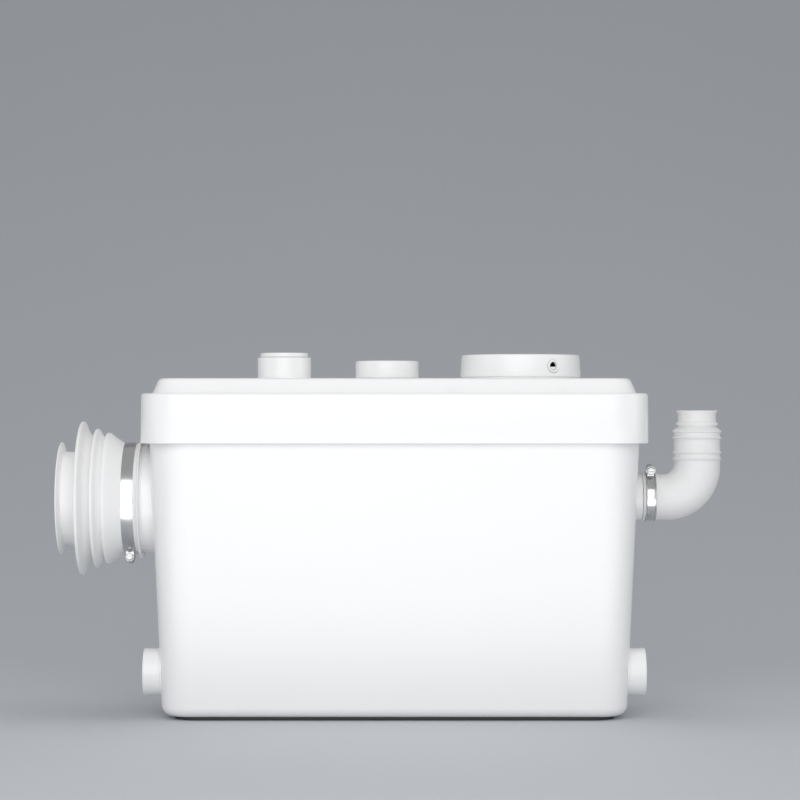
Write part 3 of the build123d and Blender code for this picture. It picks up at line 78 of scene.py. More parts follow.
def makeCamera():
    data = bpy.data.cameras.new("frontCamera")
    data.lens = view["lens"]
    data.sensor_width = view["sensor"]
    data.shift_y = view["shiftUp"]
    data.clip_end = view["farClip"]
    camera = bpy.data.objects.new("frontCamera", data)
    camera.location = view["place"]
    camera.rotation_euler = (math.pi / 2, 0.0, 0.0)
    bpy.context.scene.collection.objects.link(camera)
    bpy.context.scene.camera = camera


def makeLamps():
    for name, place, target, width, height, power, matt, glossy in lamps:
        data = bpy.data.lights.new(name, "AREA")
        data.shape = "RECTANGLE"
        data.size = width
        data.size_y = height
        data.energy = power
        lamp = bpy.data.objects.new(name, data)
        lamp.location = place
        lamp.visible_camera = False
        lamp.visible_diffuse = matt
        lamp.visible_glossy = glossy
        aim = Vector(target) - Vector(place)
        lamp.rotation_euler = aim.to_track_quat("-Z", "Y").to_euler()
        bpy.context.scene.collection.objects.link(lamp)
    world = bpy.data.worlds.new("studioWorld")
    world.use_nodes = True
    background = world.node_tree.nodes["Background"]
    background.inputs["Color"].default_value = worldTone["colour"]
    background.inputs["Strength"].default_value = worldTone["strength"]
    bpy.context.scene.world = world
    bpy.context.scene.view_settings.view_transform = "Standard"


# Mesh helpers. An outline is a wire whose corners are rounded by a vertex bevel.

meshing = {
    "arc": 0.5,              # a bevel's profile that gives a round
    "weld": 1e-6,            # metres
    "fewestSteps": 3, "mostSteps": 10,     # of a rounded corner
    "cornerSteps": 14, "leastCorner": 2.0,   # of a box's upright corners
    "sharpAngle": 32.0,
}


def bevelled(bm, geom, kind, offset, steps):
    bmesh.ops.bevel(bm, geom=geom, offset=offset, offset_type="OFFSET", segments=steps,
                    profile=meshing["arc"], affect=kind, material=-1)


def roundedWire(bm, corners, closed):
    # corners: (point, rounding in mm)
    verts = [bm.verts.new(point) for point, rounding in corners]
    pairs = list(zip(verts, verts[1:]))
    if closed:
        pairs.append((verts[-1], verts[0]))
    for pair in pairs:
        bm.edges.new(pair)
    few, most = meshing["fewestSteps"], meshing["mostSteps"]
    for vert, (point, rounding) in zip(verts, corners):
        if rounding > 0:
            bevelled(bm, [vert], "VERTICES", rounding * mm, max(few, min(most, int(few + rounding))))


def cleaned(bm):
    bmesh.ops.remove_doubles(bm, verts=bm.verts[:], dist=meshing["weld"])
    bmesh.ops.recalc_face_normals(bm, faces=bm.faces[:])
    return bm


def shift(place):
    return Matrix.Translation(Vector(place) * mm)


def spin(degrees, axis):
    return Matrix.Rotation(math.radians(degrees), 4, axis)


axisTurns = {"Z": Matrix(), "X": spin(90, "Y"), "-X": spin(-90, "Y"), "Y": spin(-90, "X"),
             "-Y": spin(90, "X")}


def turned(bm, matrix):
    bmesh.ops.transform(bm, matrix=matrix, verts=bm.verts[:])
    return bm


def moved(bm, verts, shift):
    bmesh.ops.translate(bm, vec=shift, verts=verts)


def newVerts(grown):
    # the verts that an extrusion made
    return [part for part in grown["geom"] if isinstance(part, bmesh.types.BMVert)]


def lathe(profile, place=(0, 0, 0), along="Z", steps=96):
    # profile: (along the axis, radius, rounding), in mm; it is open where it starts on the axis
    bm = bmesh.new()
    corners = [(Vector((radius * mm, 0, at * mm)), rounding) for at, radius, rounding in profile]
    roundedWire(bm, corners, profile[0][1] > 0)
    bmesh.ops.spin(bm, geom=bm.verts[:] + bm.edges[:], cent=(0, 0, 0), axis=(0, 0, 1),
                   angle=fullTurn, steps=steps, use_merge=True, use_duplicate=False)
    return cleaned(turned(bm, shift(place) @ axisTurns[along]))


def rod(radius, low, high, place=(0, 0, 0), along="Z", steps=48):
    return lathe([(low, 0, 0), (low, radius, 0), (high, radius, 0), (high, 0, 0)], place, along, steps)


def pour(part, whole):
    # one bmesh into another
    keeper = bpy.data.meshes.new("part")
    part.to_mesh(keeper)
    part.free()
    whole.from_mesh(keeper)
    bpy.data.meshes.remove(keeper)


def gathered(parts):
    whole = bmesh.new()
    for part in parts:
        pour(part, whole)
    return whole


def edgesOf(verts):
    # each edge once, in a fixed order
    return list(dict.fromkeys(e for v in verts for e in v.link_edges))


def wireOrder(bm):
    # the verts of an open wire, from the first end to the last
    start = next(v for v in bm.verts if len(v.link_edges) == 1)
    ordered = [start]
    edge = start.link_edges[0]
    while True:
        vert = edge.other_vert(ordered[-1])
        ordered.append(vert)
        others = [e for e in vert.link_edges if e != edge]
        if not others:
            return ordered
        edge = others[0]


def roundRectLoop(bm, length, depth, corner, level):
    # adds a rounded rectangle and gives its verts
    half = Vector((length, depth)) / 2
    start = len(bm.verts)
    flat = bmesh.new()
    points = [(-half.x, -half.y), (half.x, -half.y), (half.x, half.y), (-half.x, half.y)]
    verts = [flat.verts.new((x * mm, y * mm, level * mm)) for x, y in points]
    for pair in zip(verts, verts[1:] + verts[:1]):
        flat.edges.new(pair)
    bevelled(flat, verts, "VERTICES", corner * mm, meshing["cornerSteps"])
    pour(flat, bm)
    bm.verts.ensure_lookup_table()
    return bm.verts[start:]


def boxStack(profile, length, depth, corner):
    # profile: (inset, level, rounding), in mm, from the first cap to the last
    side = bmesh.new()
    corners = [(Vector((inset * mm, 0, level * mm)), rounding) for inset, level, rounding in profile]
    roundedWire(side, corners, False)
    rows = [(v.co.x / mm, v.co.z / mm) for v in wireOrder(side)]
    near = [abs(row - start) < 1e-3 for row, start in zip(rows[0], profile[0])]
    if not all(near):
        rows.reverse()
    side.free()
    bm = bmesh.new()
    loops = [roundRectLoop(bm, length - 2 * inset, depth - 2 * inset,
                           max(corner - inset, meshing["leastCorner"]), level)
             for inset, level in rows]
    for first, second in zip(loops, loops[1:]):   # every loop has its verts in the same order
        places = {vert: index for index, vert in enumerate(first)}
        for edge in edgesOf(first):
            ends = [places.get(v) for v in edge.verts]
            if None not in ends:
                near, far = ends
                corners = [first[near], first[far], second[far], second[near]]
                bmesh.ops.contextual_create(bm, geom=corners)
    for cap in (loops[0], loops[-1]):
        rim = [e for e in edgesOf(cap) if all(v in cap for v in e.verts)]
        bmesh.ops.contextual_create(bm, geom=rim)
    return cleaned(bm)


def boxed(lows, highs, rounding=0.4):
    # a bevelled block between two corners, in mm
    bm = bmesh.new()
    bmesh.ops.create_cube(bm, size=1.0)
    size = Vector(highs) - Vector(lows)
    middle = (Vector(highs) + Vector(lows)) / 2
    bmesh.ops.scale(bm, vec=size * mm, verts=bm.verts[:])
    moved(bm, bm.verts[:], middle * mm)
    if rounding:
        bevelled(bm, bm.edges[:], "EDGES", rounding * mm, 2)
    return bm


def ringTube(rings, segments):
    # rings: (matrix, radius in mm), joined one to the next; the last joins the first
    bm = bmesh.new()
    loops = []
    for matrix, radius in rings:
        made = bmesh.ops.create_circle(bm, cap_ends=False, segments=segments, radius=radius * mm,
                                       matrix=matrix)
        loops.append(edgesOf(made["verts"]))
    for first, second in zip(loops, loops[1:] + loops[:1]):
        bmesh.ops.bridge_loops(bm, edges=first + second)
    return cleaned(bm)


def asObject(bm, name, collection=None):
    mesh = bpy.data.meshes.new(name)
    bm.to_mesh(mesh)
    bm.free()
    obj = bpy.data.objects.new(name, mesh)
    (collection or bpy.context.scene.collection).objects.link(obj)
    return obj


def dropObject(obj):
    mesh = obj.data
    bpy.data.objects.remove(obj)
    bpy.data.meshes.remove(mesh)


def carved(obj, parts, operation):
    # cuts the parts out of the object, or joins them on, with an exact boolean
    collection = bpy.data.collections.new("tools")
    bpy.context.scene.collection.children.link(collection)
    tools = [asObject(part, obj.name + "Tool" + str(index), collection)
             for index, part in enumerate(parts)]
    boolean = obj.modifiers.new("carve", "BOOLEAN")
    boolean.operation = operation
    boolean.operand_type = "COLLECTION"
    boolean.collection = collection
    boolean.solver = "EXACT"
    graph = bpy.context.evaluated_depsgraph_get()
    result = bpy.data.meshes.new_from_object(obj.evaluated_get(graph))
    obj.modifiers.clear()
    old = obj.data
    obj.data = result
    bpy.data.meshes.remove(old)
    for tool in tools:
        dropObject(tool)
    bpy.data.collections.remove(collection)


def finishPiece(obj, body, node, sharpAngle=meshing["sharpAngle"]):
    obj.data.materials.clear()
    obj.data.materials.append(finishOf[node])
    obj.data.shade_smooth()
    obj.data.set_sharp_from_angle(angle=math.radians(sharpAngle))
    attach(obj, body)
    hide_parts(node)
    print("made", obj.name, len(obj.data.polygons), "faces")


# Shader node groups, built once

def newGroup(name, inputs, outputs):
    # inputs: (name, kind, value when nothing else sets it); outputs: (name, kind)
    group = bpy.data.node_groups.new(name, "ShaderNodeTree")
    for socketName, kind, value in inputs:
        kind = "NodeSocket" + kind
        socket = group.interface.new_socket(socketName, in_out="INPUT", socket_type=kind)
        socket.default_value = value
    for socketName, kind in outputs:
        group.interface.new_socket(socketName, in_out="OUTPUT", socket_type="NodeSocket" + kind)
    into, out = group.nodes.new("NodeGroupInput"), group.nodes.new("NodeGroupOutput")
    return group, into.outputs, out.inputs


def feed(tree, socket, value):
    # another socket is linked, a plain value is set
    if isinstance(value, bpy.types.NodeSocket):
        tree.links.new(value, socket)
    else:
        socket.default_value = value


def feedAll(tree, sockets, values):
    for socketName, value in values.items():
        feed(tree, sockets[socketName], value)


def newNode(tree, kind, values):
    node = tree.nodes.new("ShaderNode" + kind)
    feedAll(tree, node.inputs, values)
    return node


def noiseNode(tree, vector, scale, detail, roughness):
    values = {"Vector": vector, "Scale": scale, "Detail": detail, "Roughness": roughness}
    return newNode(tree, "TexNoise", values).outputs["Fac"]


def mathNode(tree, operation, *values):
    node = tree.nodes.new("ShaderNodeMath")
    node.operation = operation
    for value, socket in zip(values, node.inputs):
        feed(tree, socket, value)
    return node.outputs[0]


def rangeNode(tree, value, source, target):
    values = {"Value": value, "From Min": source[0], "From Max": source[1], "To Min": target[0],
              "To Max": target[1]}
    return newNode(tree, "MapRange", values).outputs["Result"]


def mixColour(tree, factor, first, second):
    node = tree.nodes.new("ShaderNodeMix")
    node.data_type = "RGBA"
    feed(tree, node.inputs["Factor"], factor)
    for value, socketName in ((first, "A"), (second, "B")):
        feed(tree, next(s for s in node.inputs if s.name == socketName and s.type == "RGBA"), value)
    return next(s for s in node.outputs if s.type == "RGBA")


def objectCoordinates(tree):
    return tree.nodes.new("ShaderNodeTexCoord").outputs["Object"]


def makeMottleGroup():
    # cloudy change of tone and gloss, with a fine skin to the surface
    group, into, out = newGroup(
        "mottledSkin",
        [("Tone", "Color", grey(0.9)), ("Shade", "Color", grey(0.86)), ("Cloud Scale", "Float", 9.0),
         ("Skin Scale", "Float", 1400.0), ("Gloss Low", "Float", 0.2), ("Gloss High", "Float", 0.3)],
        [("Colour", "Color"), ("Roughness", "Float"), ("Height", "Float")])
    place = objectCoordinates(group)
    cloud = noiseNode(group, place, into["Cloud Scale"], detail=1.5, roughness=0.4)
    gloss = noiseNode(group, place, 22.0, detail=2.0, roughness=0.45)
    feedAll(group, out, {
        "Colour": mixColour(group, cloud, into["Tone"], into["Shade"]),
        "Roughness": rangeNode(group, gloss, (0.0, 1.0), (into["Gloss Low"], into["Gloss High"])),
        "Height": noiseNode(group, place, into["Skin Scale"], detail=2.0, roughness=0.5)})
    return group


def makePaintedFootShadeGroup():
    # painted shade near the floor: the colour darkens towards the foot, broken up by a noise
    group, into, out = newGroup(
        "paintedFootShade", [("Reach", "Float", 0.03), ("Amount", "Float", 0.4)], [("Mask", "Float")])
    place = objectCoordinates(group)
    parts = newNode(group, "SeparateXYZ", {"Vector": place})
    rise = rangeNode(group, parts.outputs["Z"], (0.0, into["Reach"]), (1.0, 0.0))
    broken = noiseNode(group, place, 60.0, detail=6.0, roughness=0.65)
    mask = mathNode(group, "MULTIPLY", rise, rangeNode(group, broken, (0.35, 0.7), (0.2, 1.0)))
    feed(group, out["Mask"], mathNode(group, "MULTIPLY", mask, into["Amount"]))
    return group


def makeGrainGroup():
    # fine drawn lines, as rolled or turned metal has; Stretch sets the way they run
    group, into, out = newGroup(
        "drawnGrain",
        [("Tone", "Color", grey(0.6)), ("Line", "Color", grey(0.5)), ("Stretch", "Vector", (1, 1, 1)),
         ("Rough Low", "Float", 0.2), ("Rough High", "Float", 0.35)],
        [("Colour", "Color"), ("Roughness", "Float"), ("Height", "Float")])
    place = objectCoordinates(group)
    scaled = group.nodes.new("ShaderNodeVectorMath")
    scaled.operation = "MULTIPLY"
    feed(group, scaled.inputs[0], place)
    feed(group, scaled.inputs[1], into["Stretch"])
    lines = noiseNode(group, scaled.outputs[0], 900.0, detail=3.0, roughness=0.6)
    smudge = noiseNode(group, place, 55.0, detail=4.0, roughness=0.55)
    blend = mathNode(group, "MULTIPLY_ADD", lines, 0.5, mathNode(group, "MULTIPLY", smudge, 0.5))
    feedAll(group, out, {
        "Colour": mixColour(group, lines, into["Tone"], into["Line"]),
        "Roughness": rangeNode(group, blend, (0.3, 0.7), (into["Rough Low"], into["Rough High"])),
        "Height": lines})
    return group


def grey(value, warm=0.0):
    return (value + warm, value, value - warm, 1.0)


mottle = makeMottleGroup()
paintedFootShade = makePaintedFootShadeGroup()
drawnGrain = makeGrainGroup()
print("node groups ready")


# Materials

plasticBase = {"cloud": 9.0, "skin": 1400.0, "bump": 0.08, "bumpDepth": 0.0003, "ior": 1.5,
               "sheen": 0.05, "sheenRoughness": 0.3}
paleRubber = {"bump": 0.12, "cloud": 12.0, "skin": 900.0, "ior": 1.45, "sheen": 0.4}
darkRubber = {"bump": 0.2, "cloud": 20.0, "skin": 700.0}
metalBase = {"stretch": (1.0, 1.0, 1.0), "bump": 0.06, "bumpDepth": 0.0001}
bandedBase = {"detail": 2.0, "bump": 0.5, "bumpDepth": 0.0003}


def newMaterial(name):
    material = bpy.data.materials.new(name)
    material.use_nodes = True
    tree = material.node_tree
    return material, tree, tree.nodes["Principled BSDF"]


def placeGroup(tree, group, values):
    node = tree.nodes.new("ShaderNodeGroup")
    node.node_tree = group
    feedAll(tree, node.inputs, values)
    return node.outputs


def dress(tree, shader, colour, roughness, height, bump, depth):
    # colour, gloss and a bump from a height
    relief = newNode(tree, "Bump", {"Strength": bump, "Distance": depth, "Height": height})
    feedAll(tree, shader.inputs, {"Base Color": colour, "Roughness": roughness,
                                  "Normal": relief.outputs["Normal"]})


def plasticMaterial(name, look):
    # moulded plastic or rubber: clouded tone and gloss, and painted shade near the floor
    look = {**plasticBase, **look}
    material, tree, shader = newMaterial(name)
    skin = placeGroup(tree, mottle, {
        "Tone": look["tone"], "Shade": look["shade"], "Cloud Scale": look["cloud"],
        "Skin Scale": look["skin"], "Gloss Low": look["gloss"][0], "Gloss High": look["gloss"][1]})
    colour = skin["Colour"]
    # painted shade: near the floor the colour is mixed towards a darker one, in place of the contact
    # shade at the foot
    if "paintedShade" in look:
        paintedShade = placeGroup(tree, paintedFootShade, {"Reach": look["paintedShadeReach"], "Amount": look["paintedShadeAmount"]})
        colour = mixColour(tree, paintedShade["Mask"], colour, look["paintedShade"])
    dress(tree, shader, colour, skin["Roughness"], skin["Height"], look["bump"], look["bumpDepth"])
    feedAll(tree, shader.inputs, {"IOR": look["ior"], "Sheen Weight": look["sheen"],
                                  "Sheen Roughness": look["sheenRoughness"]})
    return material


def metalMaterial(name, look):
    look = {**metalBase, **look}
    material, tree, shader = newMaterial(name)
    grain = placeGroup(tree, drawnGrain, {
        "Tone": look["tone"], "Line": look["line"], "Stretch": look["stretch"],
        "Rough Low": look["rough"][0], "Rough High": look["rough"][1]})
    dress(tree, shader, grain["Colour"], grain["Roughness"], grain["Height"], look["bump"],
          look["bumpDepth"])
    shader.inputs["Metallic"].default_value = 1.0
    return material


def bandedMaterial(name, look):
    # stacked sheets or wound wire: thin bands along one axis
    look = {**bandedBase, **look}
    material, tree, shader = newMaterial(name)
    waves = newNode(tree, "TexWave", {
        "Vector": objectCoordinates(tree), "Scale": look["scale"], "Distortion": look["distortion"],
        "Detail": look["detail"]})
    waves.bands_direction = look["bands"]
    bands = waves.outputs["Fac"]
    dress(tree, shader, mixColour(tree, bands, look["tone"], look["line"]),
          rangeNode(tree, bands, (0.0, 1.0), look["rough"]), bands, look["bump"], look["bumpDepth"])
    shader.inputs["Metallic"].default_value = look["metallic"]
    return material


def foamMaterial(name, look):
    material, tree, shader = newMaterial(name)
    cells = newNode(tree, "TexVoronoi", {"Vector": objectCoordinates(tree), "Scale": look["scale"]})
    depth = rangeNode(tree, cells.outputs["Distance"], look["cell"], (0.0, 1.0))
    # painted shade in the pores: the colour is darkest where the bump is lowest
    dress(tree, shader, mixColour(tree, depth, look["hole"], look["tone"]), look["roughness"], depth,
          look["bump"], look["bumpDepth"])
    return material


plasticLooks = {
    "whitePlastic": {
        "tone": grey(0.93), "shade": grey(0.926), "gloss": (0.27, 0.3), "bump": 0.05, "cloud": 3.0,
        # painted shade at the foot: its darker colour, and how high and how strongly it reaches
        "paintedShade": (0.75, 0.74, 0.72, 1), "paintedShadeReach": 0.012, "paintedShadeAmount": 0.2},
    "whiteCap": {
        "tone": grey(0.91), "shade": grey(0.905), "gloss": (0.28, 0.32), "bump": 0.06, "cloud": 12.0},
    "whiteRubber": {
        **paleRubber, "tone": grey(0.89, 0.002), "shade": grey(0.87, 0.002), "gloss": (0.44, 0.54)},
    "creamRubber": {
        **paleRubber, "tone": grey(0.82, 0.004), "shade": grey(0.8, 0.004), "gloss": (0.4, 0.5)},
    "blackRubber": {**darkRubber, "tone": grey(0.03), "shade": grey(0.045), "gloss": (0.55, 0.75)},
    "greyRubber": {**darkRubber, "tone": grey(0.2), "shade": grey(0.24), "gloss": (0.5, 0.7)},
    "greyPlastic": {
        "tone": (0.42, 0.44, 0.46, 1), "shade": (0.38, 0.4, 0.42, 1), "gloss": (0.38, 0.5),
        "bump": 0.1, "cloud": 14.0},
    "blackPlastic": {
        "tone": grey(0.025), "shade": grey(0.035), "gloss": (0.35, 0.5), "bump": 0.1, "cloud": 30.0},
    "sealFace": {"tone": grey(0.09), "shade": grey(0.11), "gloss": (0.2, 0.3), "cloud": 40.0},
}
metalLooks = {
    "stainlessBand": {
        "tone": grey(0.74), "line": grey(0.68), "stretch": (1.0, 0.06, 0.06), "rough": (0.16, 0.26),
        "bump": 0.03},
    "stainlessFitting": {
        "tone": grey(0.64), "line": grey(0.6), "stretch": (0.4, 1.0, 1.0), "rough": (0.26, 0.36),
        "bump": 0.03},
    "screwSteel": {"tone": grey(0.56), "line": grey(0.52), "rough": (0.38, 0.46), "bump": 0.02},
    "stainlessDrawn": {
        "tone": grey(0.62), "line": grey(0.54), "stretch": (1.0, 1.0, 0.05), "rough": (0.24, 0.4)},
    "groundSteel": {
        "tone": grey(0.7), "line": grey(0.64), "stretch": (1.0, 1.0, 0.4), "rough": (0.12, 0.2)},
    "cageBrass": {
        "tone": (0.72, 0.55, 0.24, 1), "line": (0.64, 0.48, 0.2, 1), "rough": (0.3, 0.42)},
    "castAluminium": {
        "tone": grey(0.6), "line": grey(0.55), "stretch": (0.3, 0.3, 0.3), "rough": (0.4, 0.55),
        "bump": 0.3},
}
bandedLooks = {
    "motorSheets": {
        "bands": "Z", "scale": 320.0, "distortion": 0.3, "tone": grey(0.16), "line": grey(0.3),
        "rough": (0.4, 0.6), "metallic": 1.0},
    "copperWire": {
        "bands": "DIAGONAL", "scale": 180.0, "distortion": 1.5, "tone": (0.35, 0.1, 0.04, 1),
        "line": (0.62, 0.24, 0.1, 1), "rough": (0.25, 0.4), "metallic": 0.8},
}
foamLooks = {
    "carbonFoam": {
        # hole: the painted shade colour in the pores
        "scale": 700.0, "cell": (0.1, 0.6), "hole": grey(0.004), "tone": grey(0.03),
        "roughness": 0.95, "bump": 0.9, "bumpDepth": 0.001},
}
nodesWith = {
    "whitePlastic": "tank lid",
    "whiteCap": "inlet_plug vent_cap motor_cover",
    "whiteRubber": "cable_grommet wc_connector",
    "creamRubber": "discharge_elbow",
    "blackRubber": "base_mat lid_seal inlet_plug_ring motor_can_seal riser_hose diaphragm",
    "greyRubber": "discharge_flap left_inlet_flap right_inlet_flap",
    "greyPlastic": "check_valve_body volute suction_plate impeller strainer_basket inlet_chute"
                   " air_bell switch_cover switch_plunger microswitch_button",
    "blackPlastic": "terminal_block microswitch",
    "sealFace": "shaft_seal_seat shaft_seal_head",
    "stainlessBand": "wc_clamp_band discharge_clamp_band",
    "stainlessFitting": "wc_clamp_housing discharge_clamp_housing motor_flange_screws cutter_nut"
                        " impeller_nut lid_screws",
    "screwSteel": "wc_clamp_screw discharge_clamp_screw",
    "stainlessDrawn": "motor_can cutter_blades pump_tie_rods",
    "groundSteel": "bearing_outer_races bearing_inner_races bearing_balls motor_shaft"
                   " discharge_flap_pin inlet_flap_pins",
    "cageBrass": "bearing_cages",
    "castAluminium": "upper_bearing_bracket capacitor",
    "motorSheets": "stator_core rotor_core",
    "copperWire": "stator_windings",
    "carbonFoam": "vent_filter",
}

finishOf = {}
for makeMaterial, looks in ((plasticMaterial, plasticLooks), (metalMaterial, metalLooks),
                            (bandedMaterial, bandedLooks), (foamMaterial, foamLooks)):
    for lookName, look in looks.items():
        finish = makeMaterial(lookName, look)
        finishOf.update((nodeName, finish) for nodeName in nodesWith[lookName].split())
print("materials ready")


def dressCadNodes():
    for nodeName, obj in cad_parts.items():
        obj.data.materials.clear()
        obj.data.materials.append(finishOf[nodeName])


# Stage

def makeStage():
    s = stage
    bm = bmesh.new()
    outline = [(0, s["front"], 0), (0, s["back"], 0), (0, s["back"], s["height"])]
    verts = [bm.verts.new(point) for point in outline]
    for pair in zip(verts, verts[1:]):
        bm.edges.new(pair)
    bevelled(bm, [verts[1]], "VERTICES", s["bend"], s["bendSteps"])
    moved(bm, bm.verts[:], (-s["halfWidth"], 0, 0))
    grown = bmesh.ops.extrude_edge_only(bm, edges=bm.edges[:])
    moved(bm, newVerts(grown), (2 * s["halfWidth"], 0, 0))
    cleaned(bm)
    bm.normal_update()
    floor = min(bm.faces, key=lambda f: f.calc_center_median().z)
    if floor.normal.z < 0:
        bmesh.ops.reverse_faces(bm, faces=bm.faces[:])
    backdrop = asObject(bm, "paleBackdrop")
    backdrop.data.shade_smooth()
    material, tree, shader = newMaterial("paleFloor")
    cloud = noiseNode(tree, objectCoordinates(tree), s["cloud"], detail=3.0, roughness=0.5)
    lighter = tuple(min(1.0, c * s["lighter"]) for c in s["colour"][:3]) + (1.0,)
    feedAll(tree, shader.inputs, {"Base Color": mixColour(tree, cloud, s["colour"], lighter),
                                  "Roughness": s["roughness"]})
    backdrop.data.materials.append(material)


# Tank

tank = {
    "length": 422.2, "depth": 162.0, "corner": 26.7,   # at the foot
    "foot": 3.0, "footRounding": 9.0, "rim": 288.0, "draft": 2.67, "wall": 3.0,
    "flangeThickness": 4.0, "flangeOut": -14.4, "flangeIn": -3.4, "edge": 0.6,
    "bossSink": 1.2,         # of a boss's root in the wall
}
# an opening's form: place along X, radius, rounding
toiletInlet = {
    "level": 198.4, "depth": 0, "hole": 45.5, "through": (205, 232), "radius": 50, "fillet": 2.4,
    "form": [(213.5, 44, 0.8), (213.5, 50, 0.8), (234.5, 50, 0.3), (234.5, 48, 0.4), (256, 48, 1.2),
             (256, 44, 0.8)], "steps": 128,
}
outlet = {
    "level": 199.5, "depth": 0, "hole": 19.5, "through": (205, 228), "radius": 21, "fillet": 1.8,
    "form": [(215, 18.1, 0.4), (215, 21, 0.4), (229.6, 21, 0.8), (229.6, 18.1, 0.5)], "steps": 96,
}
lowInlet = {
    "level": 41.0, "depth": -40, "hole": 18.0, "through": (195, 222), "radius": 21.6, "fillet": 1.8,
    "form": [(204, 16.5, 0.6), (204, 19.5, 0.6), (209, 19.5, 0), (209, 21.6, 0), (229, 21.6, 0.9),
             (229, 20.1, 0.5), (214, 20.1, 0.3), (214, 16.5, 0.3)], "steps": 96,
    "lugs": (10, 13), "lugStart": 197.45, "lugEnd": 210.6, "lugLevels": (61.3, 68.5),
}
openings = ((toiletInlet, "-X"), (outlet, "X"), (lowInlet, "X"), (lowInlet, "-X"))


def draftInset(level):
    return -(level - tank["foot"]) * math.tan(math.radians(tank["draft"]))


def endPlace(level):
    return tank["length"] / 2 - draftInset(level)


def weldFillet(side, form):
    # the small concave root of a round boss on an end wall, square to the drafted wall
    sink, radius, size = tank["bossSink"], form["radius"], form["fillet"]
    root = lathe([
        (-sink, radius - 1.0, 0), (-sink, radius + size, 0), (0.0, radius + size, 0),
        (0.0, radius, size * 0.9), (size + 0.1, radius, 0), (size + 0.1, radius - 1.0, 0)], along="X")
    lean = spin(tank["draft"], "Y")
    turn = lean if side > 0 else spin(180, "Z") @ lean
    return turned(root, shift((side * endPlace(form["level"]), form["depth"], form["level"])) @ turn)


def makeTank():
    t, edge = tank, tank["edge"]
    low, inside = t["rim"] - t["flangeThickness"], t["foot"] + t["wall"]
    shell = boxStack([
        (24.0, t["foot"], 0), (0.0, t["foot"], t["footRounding"]), (draftInset(low), low, edge),
        (t["flangeOut"], low, edge), (t["flangeOut"], t["rim"], edge),
        (t["flangeIn"], t["rim"], edge), (t["flangeIn"], low, edge),
        (draftInset(low) + t["wall"], low, edge), (t["wall"] + 0.1, inside, 6.0),
        (30.0, inside, 0)], t["length"], t["depth"], t["corner"])
    obj = asObject(shell, "tankShell")
    cuts, adds = [], []
    for form, along in openings:
        side, place = 1 if along == "X" else -1, (0, form["depth"], form["level"])
        cuts.append(rod(form["hole"], *form["through"], place, along, 96))
        adds += [lathe(form["form"], place, along, form["steps"]), weldFillet(side, form)]
        if form is lowInlet:   # two lugs carry the flap's pin
            for lug in (-1, 1):
                near, far = sorted(form["depth"] + lug * reach for reach in form["lugs"])
                start, end = sorted((side * form["lugStart"], side * form["lugEnd"]))
                bottom, top = form["lugLevels"]
                adds.append(boxed((start, near, bottom), (end, far, top), 0.6))
    carved(obj, cuts, "DIFFERENCE")
    carved(obj, adds, "UNION")
    finishPiece(obj, "tank_unit", "tank", 30.0)


# Lid

lid = {
    "length": 459.0, "depth": 200.0, "corner": 35.0,
    "skirt": 250.2, "ledge": 295.4, "top": 309.0, "flare": -0.3, "ledgeWidth": 10.4, "slant": 6.0,
    "wall": 3.0, "capInset": 80.0, "screwInset": 6.25, "screwPlaces": (50.0, 150.0),
    "inlet": -102.5, "vent": -7.0, "motor": 117.0, "inletRise": 20.1,
    "cutLow": 280, "cutHigh": 330,
}
lidHoles = {"motor": 45.0, "inlet": 20.6, "vent": 16.0, "flangeScrew": 2.0, "screw": 1.5,
            "screwSeat": 3.2, "seatDepth": 1.6}
lidPosts = {"flange": 4.4, "flangeDepth": 9, "flangeCircle": 48.6, "switch": 4.0, "switchLow": 286.0,
            "switchPlaces": ((12, 55, 0), (48, 55, 0))}
lidScrew = {"seat": 293.8, "head": 3.1, "headHeight": 1.6, "shank": 1.35, "length": 17.0}
flangeScrew = {"seat": 313.5, "head": 3.0, "headHeight": 2.3, "shank": 1.9, "length": 16.4}


def screwSpots():
    x = lid["length"] / 2 - lid["screwInset"]
    y = lid["depth"] / 2 - lid["screwInset"]
    spots = [(sx * px, sy * y, 0) for px in lid["screwPlaces"] for sx in (-1, 1) for sy in (-1, 1)]
    return spots + [(-x, 0, 0), (x, 0, 0)]


def flangeSpots():
    reach = lidPosts["flangeCircle"]
    turns = [math.radians(45 + 90 * k) for k in range(4)]
    return [(lid["motor"] + reach * math.cos(a), reach * math.sin(a), 0) for a in turns]


